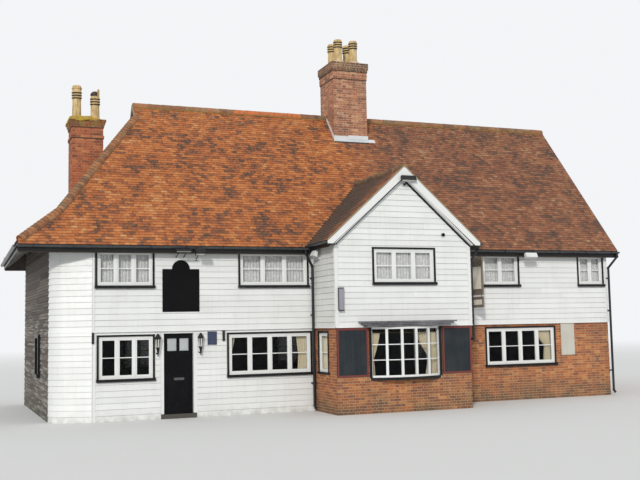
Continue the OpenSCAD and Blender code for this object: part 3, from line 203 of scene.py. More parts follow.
def inside(tree, given):
    # 1 inside the rooms, 0 on the outer faces of the walls
    x, y, z = placeParts(tree)
    wall = 0.22
    mainRoom = (abs(y) < high("rear_wall_upper").y - wall) * (x < low("right_gable_wall").x + 0.01) * (x > leftX - 0.95)
    wingRoom = (abs(x - wingMid) < wingMid - low("wing_left_wall").x - wall) * (y > wingY + wall) * (y < 0.0)
    return mainRoom.most(wingRoom) * (z < eavesZ + 0.35)


def laps(tree, given):
    # The dirt and shade under each board's butt; the courses start again at the upper storey
    z = placeParts(tree)[2]
    course = ((z - (z > storeyZ - 0.004) * storeyZ) / given["Gauge"]).fraction()
    rough = noiseValue(tree, objectPlace(tree), 2.5, 3.0).spread(0.2, 0.7, 0.55, 1.0)
    return course.spread(1.0 - given["Share"], 1.0) * rough


def courses(tree, given):
    # Painted shadow: a dark band under the tail of each course of tiles, where the gap lies in shade
    course = ((placeParts(tree)[2] - given["Start"]) / given["Rise"]).fraction()
    rough = noiseValue(tree, objectPlace(tree), 4.0, 3.0).spread(0.25, 0.7, 0.35, 1.0)
    return course.spread(1.0 - given["Share"], 0.93) * rough


effects = {}
for build, inputs in (
        (mottle, {"Scale": 3.0, "Detail": 4.0, "Stretch": (1, 1, 1), "Low": 0.4, "High": 0.6}),
        (grain, {"Scale": 40.0, "Stretch": (1, 1, 1), "Fine": 0.4}),
        (splash, {"Top": 0.5}),
        (inside, {}),
        (laps, {"Gauge": gauges["board"], "Share": 0.12}),
        (courses, {"Rise": 0.0766, "Start": 0.0, "Share": 0.28})):
    sockets = [(label, "Vector" if isinstance(value, tuple) else "Float", value) for label, value in inputs.items()]
    tree, given, out = newTree(build.__name__, "ShaderNodeTree", sockets, "Float")
    tree.links.new(build(tree, {label: Value(tree, given[label]) for label in inputs}).socket, out)
    effects[build.__name__] = tree

finishes = {}


class Finish:
    # A material in the making: its Principled shader, and the tone that is built up layer by layer
    def __init__(self, name, tone, roughness, **fixed):
        finishes[name] = bpy.data.materials.new(name)
        finishes[name].use_nodes = True
        self.tree = finishes[name].node_tree
        self.tree.nodes.clear()
        self.tone = tone
        self.shader = addNode(self.tree, "ShaderNodeBsdfPrincipled", {"Roughness": roughness})
        for key, value in fixed.items():
            self.shader.inputs[key.replace("_", " ")].default_value = value
        self.tree.links.new(self.shader.outputs[0], self.tree.nodes.new("ShaderNodeOutputMaterial").inputs[0])

    def link(self, label, value):
        self.tree.links.new(value.socket, self.shader.inputs[label])

    def effect(self, name, **inputs):
        node = self.tree.nodes.new("ShaderNodeGroup")
        node.node_tree = effects[name]
        for key, value in inputs.items():
            node.inputs[key.capitalize()].default_value = value
        return Value(self.tree, node.outputs[0])

    def mottle(self, scale, low, high, **others):
        return self.effect("mottle", scale=scale, low=low, high=high, **others)

    def shade(self):
        # Each laid piece's own shade; a solid without one reads as the darkest
        return Value(self.tree, addNode(self.tree, "ShaderNodeAttribute", attribute_name="shade").outputs["Fac"])

    def ramp(self, factor, stops):
        node = addNode(self.tree, "ShaderNodeValToRGB", {0: factor})
        elements = node.color_ramp.elements
        while len(elements) < len(stops):
            elements.new(0.5)
        for element, (place, color) in zip(elements, stops):
            element.position = place
            element.color = (*color, 1)
        return node.outputs[0]

    def layer(self, share, color, kind="MIX"):
        colors = [c if isinstance(c, bpy.types.NodeSocket) else (*c, 1) for c in (self.tone, color)]
        inputs = {0: share, 6: colors[0], 7: colors[1]}
        self.tone = addNode(self.tree, "ShaderNodeMix", inputs, data_type="RGBA", blend_type=kind).outputs[2]

    def done(self, height, depth):
        self.tree.links.new(self.tone, self.shader.inputs["Base Color"])
        bump = addNode(self.tree, "ShaderNodeBump", {"Height": height, "Distance": depth, "Strength": 1.0})
        self.tree.links.new(bump.outputs[0], self.shader.inputs["Normal"])


def paint(name, color, dirt, dirtShare, roughness, stretch=(1, 1, 1), depth=0.0006, splashShare=0.0, rooms=None,
          lapShare=0.0, gleam=0.5, blackBefore=None, darkBelow=None):
    # Paint over wood or metal: blotches, rain streaks, mud near the ground and a fine grain
    finish = Finish(name, color, roughness, Specular_IOR_Level=gleam)
    finish.layer(1.0, finish.ramp(finish.shade(), ((0, (0.93, 0.93, 0.93)), (1, (1, 1, 1)))), "MULTIPLY")
    finish.layer(finish.mottle(1.7, 0.45, 0.75) * dirtShare, dirt)
    finish.layer(finish.mottle(2.2, 0.5, 0.8, stretch=(6, 6, 0.35)) * dirtShare, dirt)
    if lapShare:
        finish.layer(finish.effect("laps") * lapShare, (0.17, 0.18, 0.18))
    if splashShare:
        finish.layer(finish.effect("splash", top=0.38) * splashShare, (0.26, 0.25, 0.21))
    if rooms:
        finish.layer(finish.effect("inside"), rooms)
    if blackBefore is not None:
        finish.layer(placeParts(finish.tree)[0] < blackBefore, (0.012, 0.012, 0.013))
    # Darker below this height, at the foot of the door frame
    if darkBelow is not None:
        finish.layer(placeParts(finish.tree)[2] < darkBelow, (0.07, 0.062, 0.052))
    gloss = finish.mottle(9.0, 0.3, 0.7).spread(0.0, 1.0, roughness - 0.08, roughness + 0.12)
    finish.link("Roughness", gloss)
    finish.done(finish.effect("grain", scale=8.0, stretch=stretch), depth)


woodGrain = (1.0, 1.0, 14.0)
# Inside the rooms: a dark tone, partly the walls' own colour and partly painted shade for the dim rooms seen through
# the panes
roomToneAndShade = (0.085, 0.066, 0.05)
whiteGloss = ((0.83, 0.84, 0.83), (0.5, 0.5, 0.47), 0.10, 0.32)
paint("whiteBoards", (0.80, 0.81, 0.80), (0.46, 0.46, 0.43), 0.15, 0.36, woodGrain, 0.0012, 0.6, None, 0.7)
paint("wallBoards", (0.74, 0.75, 0.74), (0.40, 0.40, 0.38), 0.2, 0.5, woodGrain, 0.0012, 0.6, roomToneAndShade)
# A greyer copy of the white boards for the wing's left face: more dirt, darker laps and painted shade
paint("dirtyShadedBoards", (0.73, 0.73, 0.71), (0.42, 0.41, 0.37), 0.3, 0.45, woodGrain, 0.0015, 0.6, None, 0.9)
paint("whitePaint", *whiteGloss)
paint("framePaint", *whiteGloss, blackBefore=sideWindowX)
paint("doorFramePaint", *whiteGloss, darkBelow=0.13)
paint("wornWhite", (0.52, 0.51, 0.48), (0.16, 0.14, 0.12), 0.75, 0.6, woodGrain, 0.003)
paint("blackPaint", (0.010, 0.010, 0.011), (0.05, 0.048, 0.042), 0.22, 0.34, gleam=0.22)
paint("blackPlastic", (0.014, 0.014, 0.017), (0.06, 0.06, 0.06), 0.3, 0.42, gleam=0.3)
paint("gutterPlastic", (0.040, 0.043, 0.048), (0.09, 0.09, 0.09), 0.4, 0.32)
paint("hoodLead", (0.10, 0.10, 0.11), (0.30, 0.30, 0.31), 0.6, 0.5, depth=0.003)
paint("blackMetal", (0.012, 0.012, 0.013), (0.045, 0.04, 0.036), 0.3, 0.38, gleam=0.3)
paint("whiteMetal", (0.78, 0.79, 0.78), (0.45, 0.44, 0.38), 0.3, 0.35)
paint("doorPaint", (0.005, 0.005, 0.007), (0.014, 0.014, 0.015), 0.3, 0.3, gleam=0.10)
paint("signPaint", (0.005, 0.005, 0.006), (0.014, 0.013, 0.012), 0.3, 0.45, gleam=0.08)
paint("greyPaint", (0.60, 0.58, 0.51), (0.40, 0.38, 0.32), 0.4, 0.6)
paint("blueGreyPaint", (0.31, 0.29, 0.35), (0.20, 0.19, 0.22), 0.4, 0.45)
paint("plaqueBlue", (0.03, 0.045, 0.10), (0.05, 0.06, 0.09), 0.3, 0.3)
paint("slateBoard", (0.022, 0.028, 0.034), (0.05, 0.056, 0.062), 0.5, 0.6, gleam=0.2)
paint("maroonPaint", (0.19, 0.045, 0.042), (0.09, 0.035, 0.03), 0.4, 0.4, gleam=0.3)
paint("signWood", (0.25, 0.20, 0.155), (0.12, 0.09, 0.07), 0.6, 0.5, woodGrain, 0.002)
paint("signPanel", (0.94, 0.87, 0.75), (0.62, 0.54, 0.43), 0.6, 0.5)
paint("letterMetal", (0.10, 0.10, 0.10), (0.05, 0.05, 0.05), 0.4, 0.45)
paint("brass", (0.42, 0.30, 0.12), (0.16, 0.11, 0.05), 0.5, 0.35)
paint("rustyMetal", (0.03, 0.024, 0.022), (0.10, 0.05, 0.03), 0.6, 0.7)
paint("lead", (0.66, 0.69, 0.72), (0.86, 0.88, 0.88), 0.5, 0.5, depth=0.004)
# Undersides of the roof slabs, seen under the eaves and between tiles: nearly black, the timber's own tone with painted
# shade
paint("roofTimberAndShade", (0.045, 0.034, 0.027), (0.02, 0.016, 0.014), 0.6, 0.8, woodGrain, 0.003)
paint("floorStone", (0.14, 0.12, 0.10), (0.08, 0.07, 0.06), 0.5, 0.7)
paint("floorboards", (0.20, 0.13, 0.08), (0.1, 0.07, 0.05), 0.5, 0.6, (14, 1, 1), 0.001)


def weatheredAndShaded(name):
    # Bare boards with crusts of old pale paint, kept very dark all over as painted shade for the cast shadow that lies
    # on this side wall
    finish = Finish(name, None, 0.8)
    # The stops mix the bare wood's colour with painted shade
    stops = ((0, (0.055, 0.042, 0.034)), (0.5, (0.10, 0.078, 0.062)), (1, (0.16, 0.13, 0.105)))
    finish.tone = finish.ramp(finish.shade(), stops)
    flakes = finish.mottle(2.6, 0.50, 0.60, detail=8.0, stretch=(0.35, 0.35, 6.0))
    flakes = flakes * placeParts(finish.tree)[2].spread(2.3, 3.3, 1.0, 0.10)
    finish.layer(flakes * 0.8, (0.34, 0.32, 0.29))
    # Near-black laps: dirt, and painted shade under each board's butt
    finish.layer(finish.effect("laps", share=0.3) * 0.9, (0.015, 0.013, 0.012))
    finish.layer(finish.mottle(3.0, 0.5, 0.75, stretch=(5, 5, 0.5)) * 0.5, (0.07, 0.06, 0.05))
    finish.layer(finish.effect("splash", top=0.6), (0.06, 0.07, 0.04))
    finish.layer(finish.effect("inside"), roomToneAndShade)
    finish.done(finish.effect("grain", scale=8.0, stretch=woodGrain, fine=0.8) + flakes, 0.004)


def masonry(name, stops, soot, sootShare, moss=0.0, sootBase=0.0, sootFrom=None, damp=0.0):
    # Bricks: a burnt colour for each, blotched, with soot or damp over them; sootFrom is the x where soot starts
    finish = Finish(name, None, 0.85)
    x, y, z = placeParts(finish.tree)
    finish.tone = finish.ramp(finish.shade(), stops)
    finish.layer(finish.mottle(14.0, 0.45, 0.75, detail=6.0) * 0.45, stops[0][1])
    finish.layer(finish.mottle(55.0, 0.62, 0.70, detail=3.0) * 0.5, (0.66, 0.50, 0.34))
    dark = finish.mottle(1.1, 0.48, 0.7, detail=5.0, stretch=(1, 1, 0.7)) * sootShare
    if sootBase:
        dark = dark.calc("ADD", sootBase, True)
    if sootFrom is not None:
        dark = dark * x.spread(sootFrom, sootFrom + 0.9, 0.62, 1.0)
    finish.layer(dark, soot)
    if damp:
        ragged = finish.mottle(2.4, 0.2, 0.7, detail=6.0)
        finish.layer(z.spread(0.08, 0.72, damp, 0.0) * ragged, (0.10, 0.075, 0.045))
    if moss:
        finish.layer(finish.mottle(5.0, 0.5, 0.62, detail=8.0) * moss, (0.33, 0.27, 0.07))
    finish.done(finish.effect("grain", scale=70.0, fine=0.7), 0.002)


def mortar(name, color, depth=0.003, lichen=None):
    # lichen gives the heights between which it grows and its share at the top
    finish = Finish(name, color, 0.9)
    finish.layer(finish.mottle(3.0, 0.4, 0.7, detail=7.0) * 0.5, tuple(c * 0.55 for c in color))
    if lichen:
        foot, top, share = lichen
        grown = placeParts(finish.tree)[2].spread(foot, top, 0.0, share)
        finish.layer(grown * finish.mottle(6.0, 0.32, 0.55, detail=8.0), (0.50, 0.33, 0.035))
    finish.layer(finish.effect("inside"), roomToneAndShade)
    finish.done(finish.effect("grain", scale=60.0, fine=0.8), depth)


def pegTiles(name, part, footZ, moss=0.0):
    # Peg tiles: bright orange at the left, browner at the right, lichen near the ridge and the verge
    finish = Finish(name, None, 0.82)
    x, y, z = placeParts(finish.tree)
    shade = finish.shade() * 0.54 + finish.mottle(1.3, 0.34, 0.66, detail=6.0) * 0.34
    shade = shade - 0.09 + finish.mottle(13.0, 0.28, 0.72) * 0.38
    finish.tone = finish.ramp(shade, (
        (0.10, (0.085, 0.048, 0.032)), (0.28, (0.19, 0.078, 0.040)), (0.42, (0.34, 0.105, 0.036)),
        (0.62, (0.48, 0.150, 0.040)), (0.85, (0.58, 0.21, 0.060)), (0.98, (0.58, 0.33, 0.15)),
    ))
    brown = finish.ramp(shade, (
        (0.10, (0.075, 0.048, 0.036)), (0.30, (0.14, 0.066, 0.042)), (0.46, (0.22, 0.085, 0.044)),
        (0.64, (0.29, 0.110, 0.052)), (0.85, (0.35, 0.155, 0.075)), (0.98, (0.42, 0.27, 0.16)),
    ))
    across = x + finish.mottle(0.45, 0.2, 0.8, detail=2.0) * 1.6
    finish.layer(across.spread(wingMid + 0.6, wingMid + 2.6), brown)
    finish.layer(finish.mottle(22.0, 0.45, 0.8, detail=6.0) * 0.30, (0.17, 0.09, 0.055))
    edge = (z.spread(ridgeZ - 1.5, ridgeZ) * 0.75).most(x.spread(roofRight - 2.2, roofRight) * 0.6)
    spots = finish.mottle(9.0, 0.55, 0.65, detail=10.0)
    finish.layer(spots.calc("MULTIPLY", edge * 0.5 + 0.16, True), (0.34, 0.28, 0.17))
    if moss:
        # Darkest along the valley, and clear near the verge
        valley = (z - eavesZ) / mainSlope + eavesY
        share = (valley - y) / (valley - wingVergeY) + finish.mottle(2.2, 0.2, 0.8, detail=8.0) * 0.3
        finish.layer(share.spread(0.74, 1.10, moss, 0.35), (0.058, 0.050, 0.040))
    rise = math.sin(pitch[part]) * gauges["tile"]
    # Painted shadow in the gap under each course's tail
    lines = finish.effect("courses", rise=rise, start=footZ - 0.3 * rise)
    finish.layer(lines * 0.62, (0.045, 0.025, 0.018))
    finish.done(finish.effect("grain", scale=45.0, fine=0.8), 0.003)


def ridgeClay(name, stops):
    finish = Finish(name, None, 0.85)
    finish.tone = finish.ramp(finish.shade(), stops)
    lichen = finish.mottle(5.0, 0.48, 0.66, detail=9.0) * finish.shade().spread(0.9, 0.95, 0.5, 0.08)
    finish.layer(lichen, (0.32, 0.27, 0.15))
    finish.layer(finish.mottle(9.0, 0.45, 0.7, detail=6.0) * 0.45, (0.10, 0.06, 0.04))
    finish.done(finish.effect("grain", scale=50.0, fine=0.8), 0.003)


potBoxes = sorted(solidBoxes("chimney_pots"), key=lambda box: (round(box[0].x, 2), box[0].y))
potBoxes = [box for k, box in enumerate(potBoxes) if k == 0 or abs(box[0].x - potBoxes[k - 1][0].x) > 0.02]


def potClay(name):
    finish = Finish(name, (0.67, 0.49, 0.23), 0.7)
    finish.layer(finish.mottle(6.0, 0.4, 0.75, detail=6.0), (0.43, 0.30, 0.14))
    finish.layer(finish.mottle(5.0, 0.50, 0.72, stretch=(5, 5, 0.6)) * 0.7, (0.09, 0.07, 0.04))
    x, y, z = placeParts(finish.tree)
    ragged = finish.mottle(16.0, 0.2, 0.8) * 0.012
    for lo, hi in potBoxes:
        # Painted shade in the grooves between the rings, 80 mm apart, the second of them 110 mm under the top
        down = (hi.z - z) + ragged
        wave = ((down + 0.65) / 0.08).fraction()
        grooveShade = abs(wave - 0.5).spread(0.20, 0.30, 0.93, 0.0)
        near = abs(x - (lo.x + hi.x) / 2) < (hi.x - lo.x) / 2 + 0.01
        finish.layer(grooveShade * ((down < 0.31) * (down > 0.07)) * near, (0.018, 0.016, 0.014))
    finish.done(finish.effect("grain", scale=50.0), 0.002)


def glazing(name, color, alpha, roughness, upstairs=None):
    # upstairs is a lower alpha for the panes above the storey line, which lets the nets behind them show brighter as
    # painted light
    finish = Finish(name, color, roughness, Alpha=alpha, Specular_IOR_Level=0.32)
    if upstairs is not None:
        finish.link("Alpha", placeParts(finish.tree)[2].spread(storeyZ, storeyZ + 0.9, alpha, upstairs))
    finish.layer(finish.mottle(3.0, 0.2, 0.8, detail=1.0), tuple(c * 0.8 for c in color))
    finish.done(finish.effect("grain", scale=4.0, fine=0.05), 0.002)


def cloth(name, color, holes):
    # Woven cloth; a net lets light through its holes
    finish = Finish(name, tuple(c * 0.86 for c in color), 0.9)
    uv = addNode(finish.tree, "ShaderNodeUVMap", uv_map="flat").outputs[0]
    weave = noiseValue(finish.tree, uv, 14.0, 5.0)
    finish.layer(weave, color)
    if holes:
        flowers = addNode(finish.tree, "ShaderNodeTexVoronoi", {"Vector": uv, "Scale": 11.0}).outputs[0]
        finish.link("Alpha", Value(finish.tree, flowers).spread(0.2, 0.55, 0.97, holes))
    finish.done(weave, 0.002)


stackStops = (
    (0.0, (0.17, 0.075, 0.05)), (0.2, (0.31, 0.115, 0.065)), (0.5, (0.40, 0.155, 0.080)),
    (0.8, (0.48, 0.215, 0.110)), (1.0, (0.60, 0.34, 0.20)),
)
redStackStops = (
    (0.0, (0.18, 0.055, 0.028)), (0.2, (0.30, 0.080, 0.034)), (0.5, (0.40, 0.105, 0.042)),
    (0.8, (0.46, 0.14, 0.055)), (1.0, (0.54, 0.22, 0.09)),
)
weatheredAndShaded("weatheredShadedBoards")
masonry("brick", (
    (0.0, (0.21, 0.075, 0.042)), (0.16, (0.31, 0.095, 0.038)), (0.45, (0.42, 0.130, 0.040)),
    (0.75, (0.52, 0.175, 0.050)), (1.0, (0.62, 0.28, 0.095)),
), (0.14, 0.075, 0.05), 0.52, damp=1.0)
masonry("stackBrick", stackStops, (0.10, 0.06, 0.05), 0.55)
masonry("redStackBrick", redStackStops, (0.08, 0.045, 0.035), 0.35)
masonry("sootyBrick", stackStops, (0.05, 0.038, 0.033), 0.6, 0.2, 0.72, -0.3)
masonry("mossyBrick", redStackStops, (0.055, 0.04, 0.03), 0.6, 0.45, 0.46)
mortar("mortar", (0.48, 0.37, 0.24))
mortar("stackMortar", (0.60, 0.46, 0.33))
mortar("mossyMortar", (0.42, 0.28, 0.17), 0.004, (8.30, 8.55, 1.0))
mortar("mustardMortar", (0.34, 0.22, 0.06), 0.006, (8.0, 8.5, 0.95))
# Near-black mortar for the bars under the stacks' bands: soot, with painted shade under the bands
mortar("sootAndShadeMortar", (0.055, 0.038, 0.030), 0.004)
mortar("bedding", (0.17, 0.095, 0.055), 0.006)
mortar("goldBedding", (0.17, 0.10, 0.055), 0.006, (wingRidgeZ - 0.25, wingRidgeZ, 0.5))
mortar("vergeMortar", (0.34, 0.27, 0.18), 0.004)
pegTiles("roofTiles", "main", eavesZ)
pegTiles("mossyTiles", "wing", wingEavesZ, 0.9)
pegTiles("wingTiles", "wing", wingEavesZ)
ridgeClay("ridgeClay", (
    (0.0, (0.17, 0.085, 0.05)), (0.45, (0.28, 0.125, 0.06)), (0.8, (0.36, 0.17, 0.08)), (1.0, (0.62, 0.17, 0.05))))
ridgeClay("hipClay", (
    (0.0, (0.19, 0.085, 0.045)), (0.45, (0.36, 0.145, 0.06)), (0.8, (0.47, 0.20, 0.08)), (1.0, (0.55, 0.27, 0.12))))
ridgeClay("mossyClay", ((0.0, (0.09, 0.055, 0.035)), (0.5, (0.15, 0.08, 0.045)), (1.0, (0.22, 0.12, 0.065))))
potClay("buffClay")
glazing("glass", (0.012, 0.014, 0.017), 0.13, 0.05, 0.09)
glazing("rearGlass", (0.012, 0.014, 0.017), 0.82, 0.06)
glazing("paleGlass", (0.52, 0.55, 0.56), 0.92, 0.25)
glazing("lampGlass", (0.62, 0.62, 0.58), 0.97, 0.2)
cloth("netCurtain", (0.95, 0.96, 0.95), 0.8)
cloth("creamCurtain", (0.97, 0.89, 0.68), 0.0)
print("stage: finishes", len(finishes))


# The solids keep their shapes and take their finishes
nodeFinishes = {
    "floorStone": "ground_floor",
    "floorboards": "upper_floor",
    "wallBoards": "front_wall_left_of_door front_wall_right_of_door front_wall_upper_left corner_wall rear_wall_lower "
                  "rear_wall_upper right_wall_upper wing_gable_wall",
    "weatheredShadedBoards": "left_side_wall",
    "mortar": "right_gable_wall right_wall_lower wing_wall_lower wing_left_wall wing_right_wall",
    "roofTimberAndShade": "main_roof_front main_roof_rear left_hip_roof wing_roof_left wing_roof_right",
    "whitePaint": "gablet wing_bargeboards corner_boards upper_window_frames bay_window_frame rear_window_frames",
    "goldBedding": "ridge_tiles",
    "bedding": "hip_tiles",
    "blackPaint": "right_bargeboards fascias window_trims bay_surround",
    "gutterPlastic": "gutters",
    "blackPlastic": "downpipes",
    "stackMortar": "main_chimney",
    "lead": "main_chimney_lead",
    "mossyMortar": "left_chimney",
    "buffClay": "chimney_pots",
    "framePaint": "ground_window_frames",
    "glass": "front_glass",
    "rearGlass": "rear_glass",
    "hoodLead": "bay_hood",
    "doorFramePaint": "door_frame",
    "doorPaint": "door_leaf",
    "paleGlass": "door_panes",
    "signPaint": "wall_sign",
    "slateBoard": "menu_boards",
    "signWood": "hanging_sign",
    "greyPaint": "board_panel",
    "blackMetal": "lanterns",
    "whiteMetal": "white_lamps",
}
for finishName, nodeNames in nodeFinishes.items():
    for nodeName in nodeNames.split():
        mesh = nodes[nodeName].data
        mesh.materials.clear()
        mesh.materials.append(finishes[finishName])


# Geometry Nodes: one tree lays pieces on points, one sweeps boards along lines
def setFinish(tree, geometry, given, out):
    real = addNode(tree, "GeometryNodeRealizeInstances", {0: geometry}).outputs[0]
    done = addNode(tree, "GeometryNodeSetMaterial", {"Geometry": real, "Material": given["Finish"]}).outputs[0]
    tree.links.new(done, out)
    return tree


def makeLayTree():
    tree, given, out = newTree("layPieces", "GeometryNodeTree", (
        ("Points", "Geometry", None), ("Piece", "Object", None), ("Turn jitter", "Vector", (0, 0, 0)),
        ("Shift jitter", "Vector", (0, 0, 0)), ("Seed", "Int", 1), ("Finish", "Material", None),
    ), "Geometry")

    def between(amount, seedStep):
        flipped = addNode(tree, "ShaderNodeVectorMath", {0: amount, 1: (-1, -1, -1)}, operation="MULTIPLY")
        seed = addNode(tree, "ShaderNodeMath", {0: given["Seed"], 1: float(seedStep)}, operation="ADD")
        return addNode(tree, "FunctionNodeRandomValue", {
            0: flipped.outputs[0], 1: amount, 8: seed.outputs[0],
        }, data_type="FLOAT_VECTOR").outputs[0]

    turn, size = (addNode(tree, "GeometryNodeInputNamedAttribute", {0: label}, data_type="FLOAT_VECTOR").outputs[0]
                  for label in ("turn", "size"))
    piece = addNode(tree, "GeometryNodeObjectInfo", {0: given["Piece"]}).outputs["Geometry"]
    laid = addNode(tree, "FunctionNodeEulerToRotation", {0: turn}).outputs[0]
    wobble = addNode(tree, "FunctionNodeEulerToRotation", {0: between(given["Turn jitter"], 1)}).outputs[0]
    rotation = addNode(tree, "FunctionNodeRotateRotation", {0: laid, 1: wobble}, rotation_space="LOCAL").outputs[0]
    placed = addNode(tree, "GeometryNodeInstanceOnPoints", {
        "Points": given["Points"], "Instance": piece, "Rotation": rotation, "Scale": size,
    }).outputs[0]
    shifted = addNode(tree, "GeometryNodeTranslateInstances", {
        "Instances": placed, "Translation": between(given["Shift jitter"], 2),
    }).outputs[0]
    return setFinish(tree, shifted, given, out)


def makeSweepTree():
    # A feather-edged board along each line: its foot on the line, its face to the right of the way it runs
    tree, given, out = newTree("sweepBoards", "GeometryNodeTree", (
        ("Lines", "Geometry", None), ("Gauge", "Float", gauges["board"]), ("Butt", "Float", 0.022),
        ("Edge", "Float", 0.006), ("Finish", "Material", None),
    ), "Geometry")
    curve = addNode(tree, "GeometryNodeMeshToCurve", {0: given["Lines"]}).outputs[0]
    upright = addNode(tree, "GeometryNodeSetCurveNormal", {0: curve}, mode="Z_UP").outputs[0]
    down = addNode(tree, "ShaderNodeMath", {0: given["Gauge"], 1: -1.0}, operation="MULTIPLY").outputs[0]
    corners = ((0.0, 0.0), (0.0, down), (given["Edge"], down), (given["Butt"], 0.0))
    ends = {}
    for number, (outward, upward) in enumerate(corners, 1):
        ends[f"Point {number}"] = addNode(tree, "ShaderNodeCombineXYZ", {0: outward, 1: upward}).outputs[0]
    profile = addNode(tree, "GeometryNodeCurvePrimitiveQuadrilateral", ends, mode="POINTS").outputs[0]
    board = addNode(tree, "GeometryNodeCurveToMesh", {0: upright, 1: profile, "Fill Caps": True}).outputs[0]
    flat = addNode(tree, "GeometryNodeSetShadeSmooth", {"Geometry": board, "Shade Smooth": False}).outputs[0]
    return setFinish(tree, flat, given, out)


layTree = makeLayTree()
sweepTree = makeSweepTree()


def newObject(name, data):
    made = bpy.data.objects.new(name, data)
    bpy.context.scene.collection.objects.link(made)
    return made


def newMesh(name, verts, faces, edges=()):
    mesh = bpy.data.meshes.new(name)
    mesh.from_pydata([tuple(v) for v in verts], edges, faces)
    return mesh


def grow(name, mesh, tree, values):
    # Runs a tree on a mesh and keeps the result as a plain mesh
    source = newObject(name, mesh)
    modifier = source.modifiers.new(tree.name, "NODES")
    modifier.node_group = tree
    for item in tree.interface.items_tree:
        if item.in_out == "INPUT" and item.name in values:
            modifier[item.identifier] = values[item.name]
    evaluated = source.evaluated_get(bpy.context.evaluated_depsgraph_get())
    result = bpy.data.meshes.new_from_object(evaluated)
    source.modifiers.clear()
    source.data = result
    bpy.data.meshes.remove(mesh)
    for label in ("turn", "size"):
        if label in result.attributes:
            result.attributes.remove(result.attributes[label])
    return source


unitPieces = []


def unitPiece(name, verts, faces):
    made = newObject(name, newMesh(name, verts, faces))
    made.hide_render = True
    unitPieces.append(made)
    return made


def unitBox(name, *edges):
    # A closed solid from four edges along x: front and back below, front and back above, each (half length, y, z)
    verts = []
    for front, back in (edges[:2], edges[2:]):
        verts += [(-front[0], *front[1:]), front, back, (-back[0], *back[1:])]
    sides = [(i, (i + 1) % 4, 4 + (i + 1) % 4, 4 + i) for i in range(4)]
    return unitPiece(name, verts, [(3, 2, 1, 0), (4, 5, 6, 7), *sides])


class Points:
    # The places, turns, sizes and shades of the pieces to lay
    def __init__(self, seed):
        self.places, self.turns, self.sizes, self.shades = [], [], [], []
        self.dice = random.Random(seed)

    def add(self, place, turn, size, shade=None):
        self.places.append(place)
        self.turns.append(tuple(turn))
        self.sizes.append(tuple(size))
        self.shades.append(self.dice.random() if shade is None else shade)

    def mesh(self, name):
        made = newMesh(name, self.places, ())
        for label, values in (("turn", self.turns), ("size", self.sizes)):
            held = made.attributes.new(label, "FLOAT_VECTOR", "POINT")
            held.data.foreach_set("vector", [c for value in values for c in value])
        made.attributes.new("shade", "FLOAT", "POINT").data.foreach_set("value", self.shades)
        return made


def mount(made, body="building"):
    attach(made, body)


def layPieces(name, points, piece, finish, jitter=((0, 0, 0), (0, 0, 0)), seed=1, body="building"):
    # jitter is how far each piece may turn and shift at random
    made = grow(name, points.mesh(name + "Points"), layTree, {
        "Piece": piece, "Turn jitter": jitter[0], "Shift jitter": jitter[1], "Seed": seed, "Finish": finishes[finish],
    })
    mount(made, body)
    print("stage:", name, len(points.places), "pieces,", len(made.data.polygons), "faces")


# Walls as seen from outside: a place along the foot and a height
class WallFace:
    def __init__(self, start, end):
        self.start = Vector(start)
        self.along = (Vector(end) - self.start).normalized()
        self.length = (Vector(end) - self.start).length
        self.out = Vector((self.along.y, -self.along.x))
        self.turn = math.atan2(self.along.y, self.along.x)

    def place(self, s, z, out=0.0):
        spot = self.start + self.along * s + self.out * out
        return (spot.x, spot.y, z)

    def hole(self, box, margin=0.0):
        # The part of the face that a box on it covers
        lo, hi = box
        reach = [(Vector((x, y)) - self.start).dot(self.along) for x in (lo.x, hi.x) for y in (lo.y, hi.y)]
        return (min(reach) - margin, max(reach) + margin, lo.z - margin, hi.z + margin)

    def holes(self, boxes, margin=0.0):
        found = []
        for box in boxes:
            middle = Vector(((box[0].x + box[1].x) / 2, (box[0].y + box[1].y) / 2)) - self.start
            inLine = -0.1 < middle.dot(self.along) < self.length + 0.1
            if inLine and abs(middle.dot(self.out)) < 0.3:
                found.append(self.hole(box, margin))
        return found


def cutPieces(piece, holes, least):
    # Cuts a rectangle (s0, s1, z0, z1) round holes
    pieces = [piece]
    for a0, a1, c0, c1 in holes:
        left = []
        for s0, s1, z0, z1 in pieces:
            if a0 >= s1 or a1 <= s0 or c0 >= z1 or c1 <= z0:
                left.append((s0, s1, z0, z1))
                continue
            m0, m1 = max(s0, a0), min(s1, a1)
            left += [(s0, m0, z0, z1), (m1, s1, z0, z1), (m0, m1, z0, c0), (m0, m1, c1, z1)]
        pieces = [p for p in left if p[1] - p[0] > least and p[3] - p[2] > least]
    return pieces


trimBoxes = solidBoxes("window_trims")
frameBoxes = solidBoxes("ground_window_frames")
paneBoxes = solidBoxes("front_glass") + solidBoxes("rear_glass")

# Weatherboards
boards = {"butt": 0.022, "edge": 0.006, "shortest": 2.2, "longest": 4.6, "lastPart": 0.9, "gap": 0.002, "least": 0.012,
          "upperInset": 0.050, "lowerInset": 0.090}
featherEdge = boards["edge"] / boards["butt"]
boardPiece = unitBox("boardPiece", (0.5, -1, 0), (0.5, 0, 0), (0.5, -featherEdge, 1), (0.5, 0, 1))


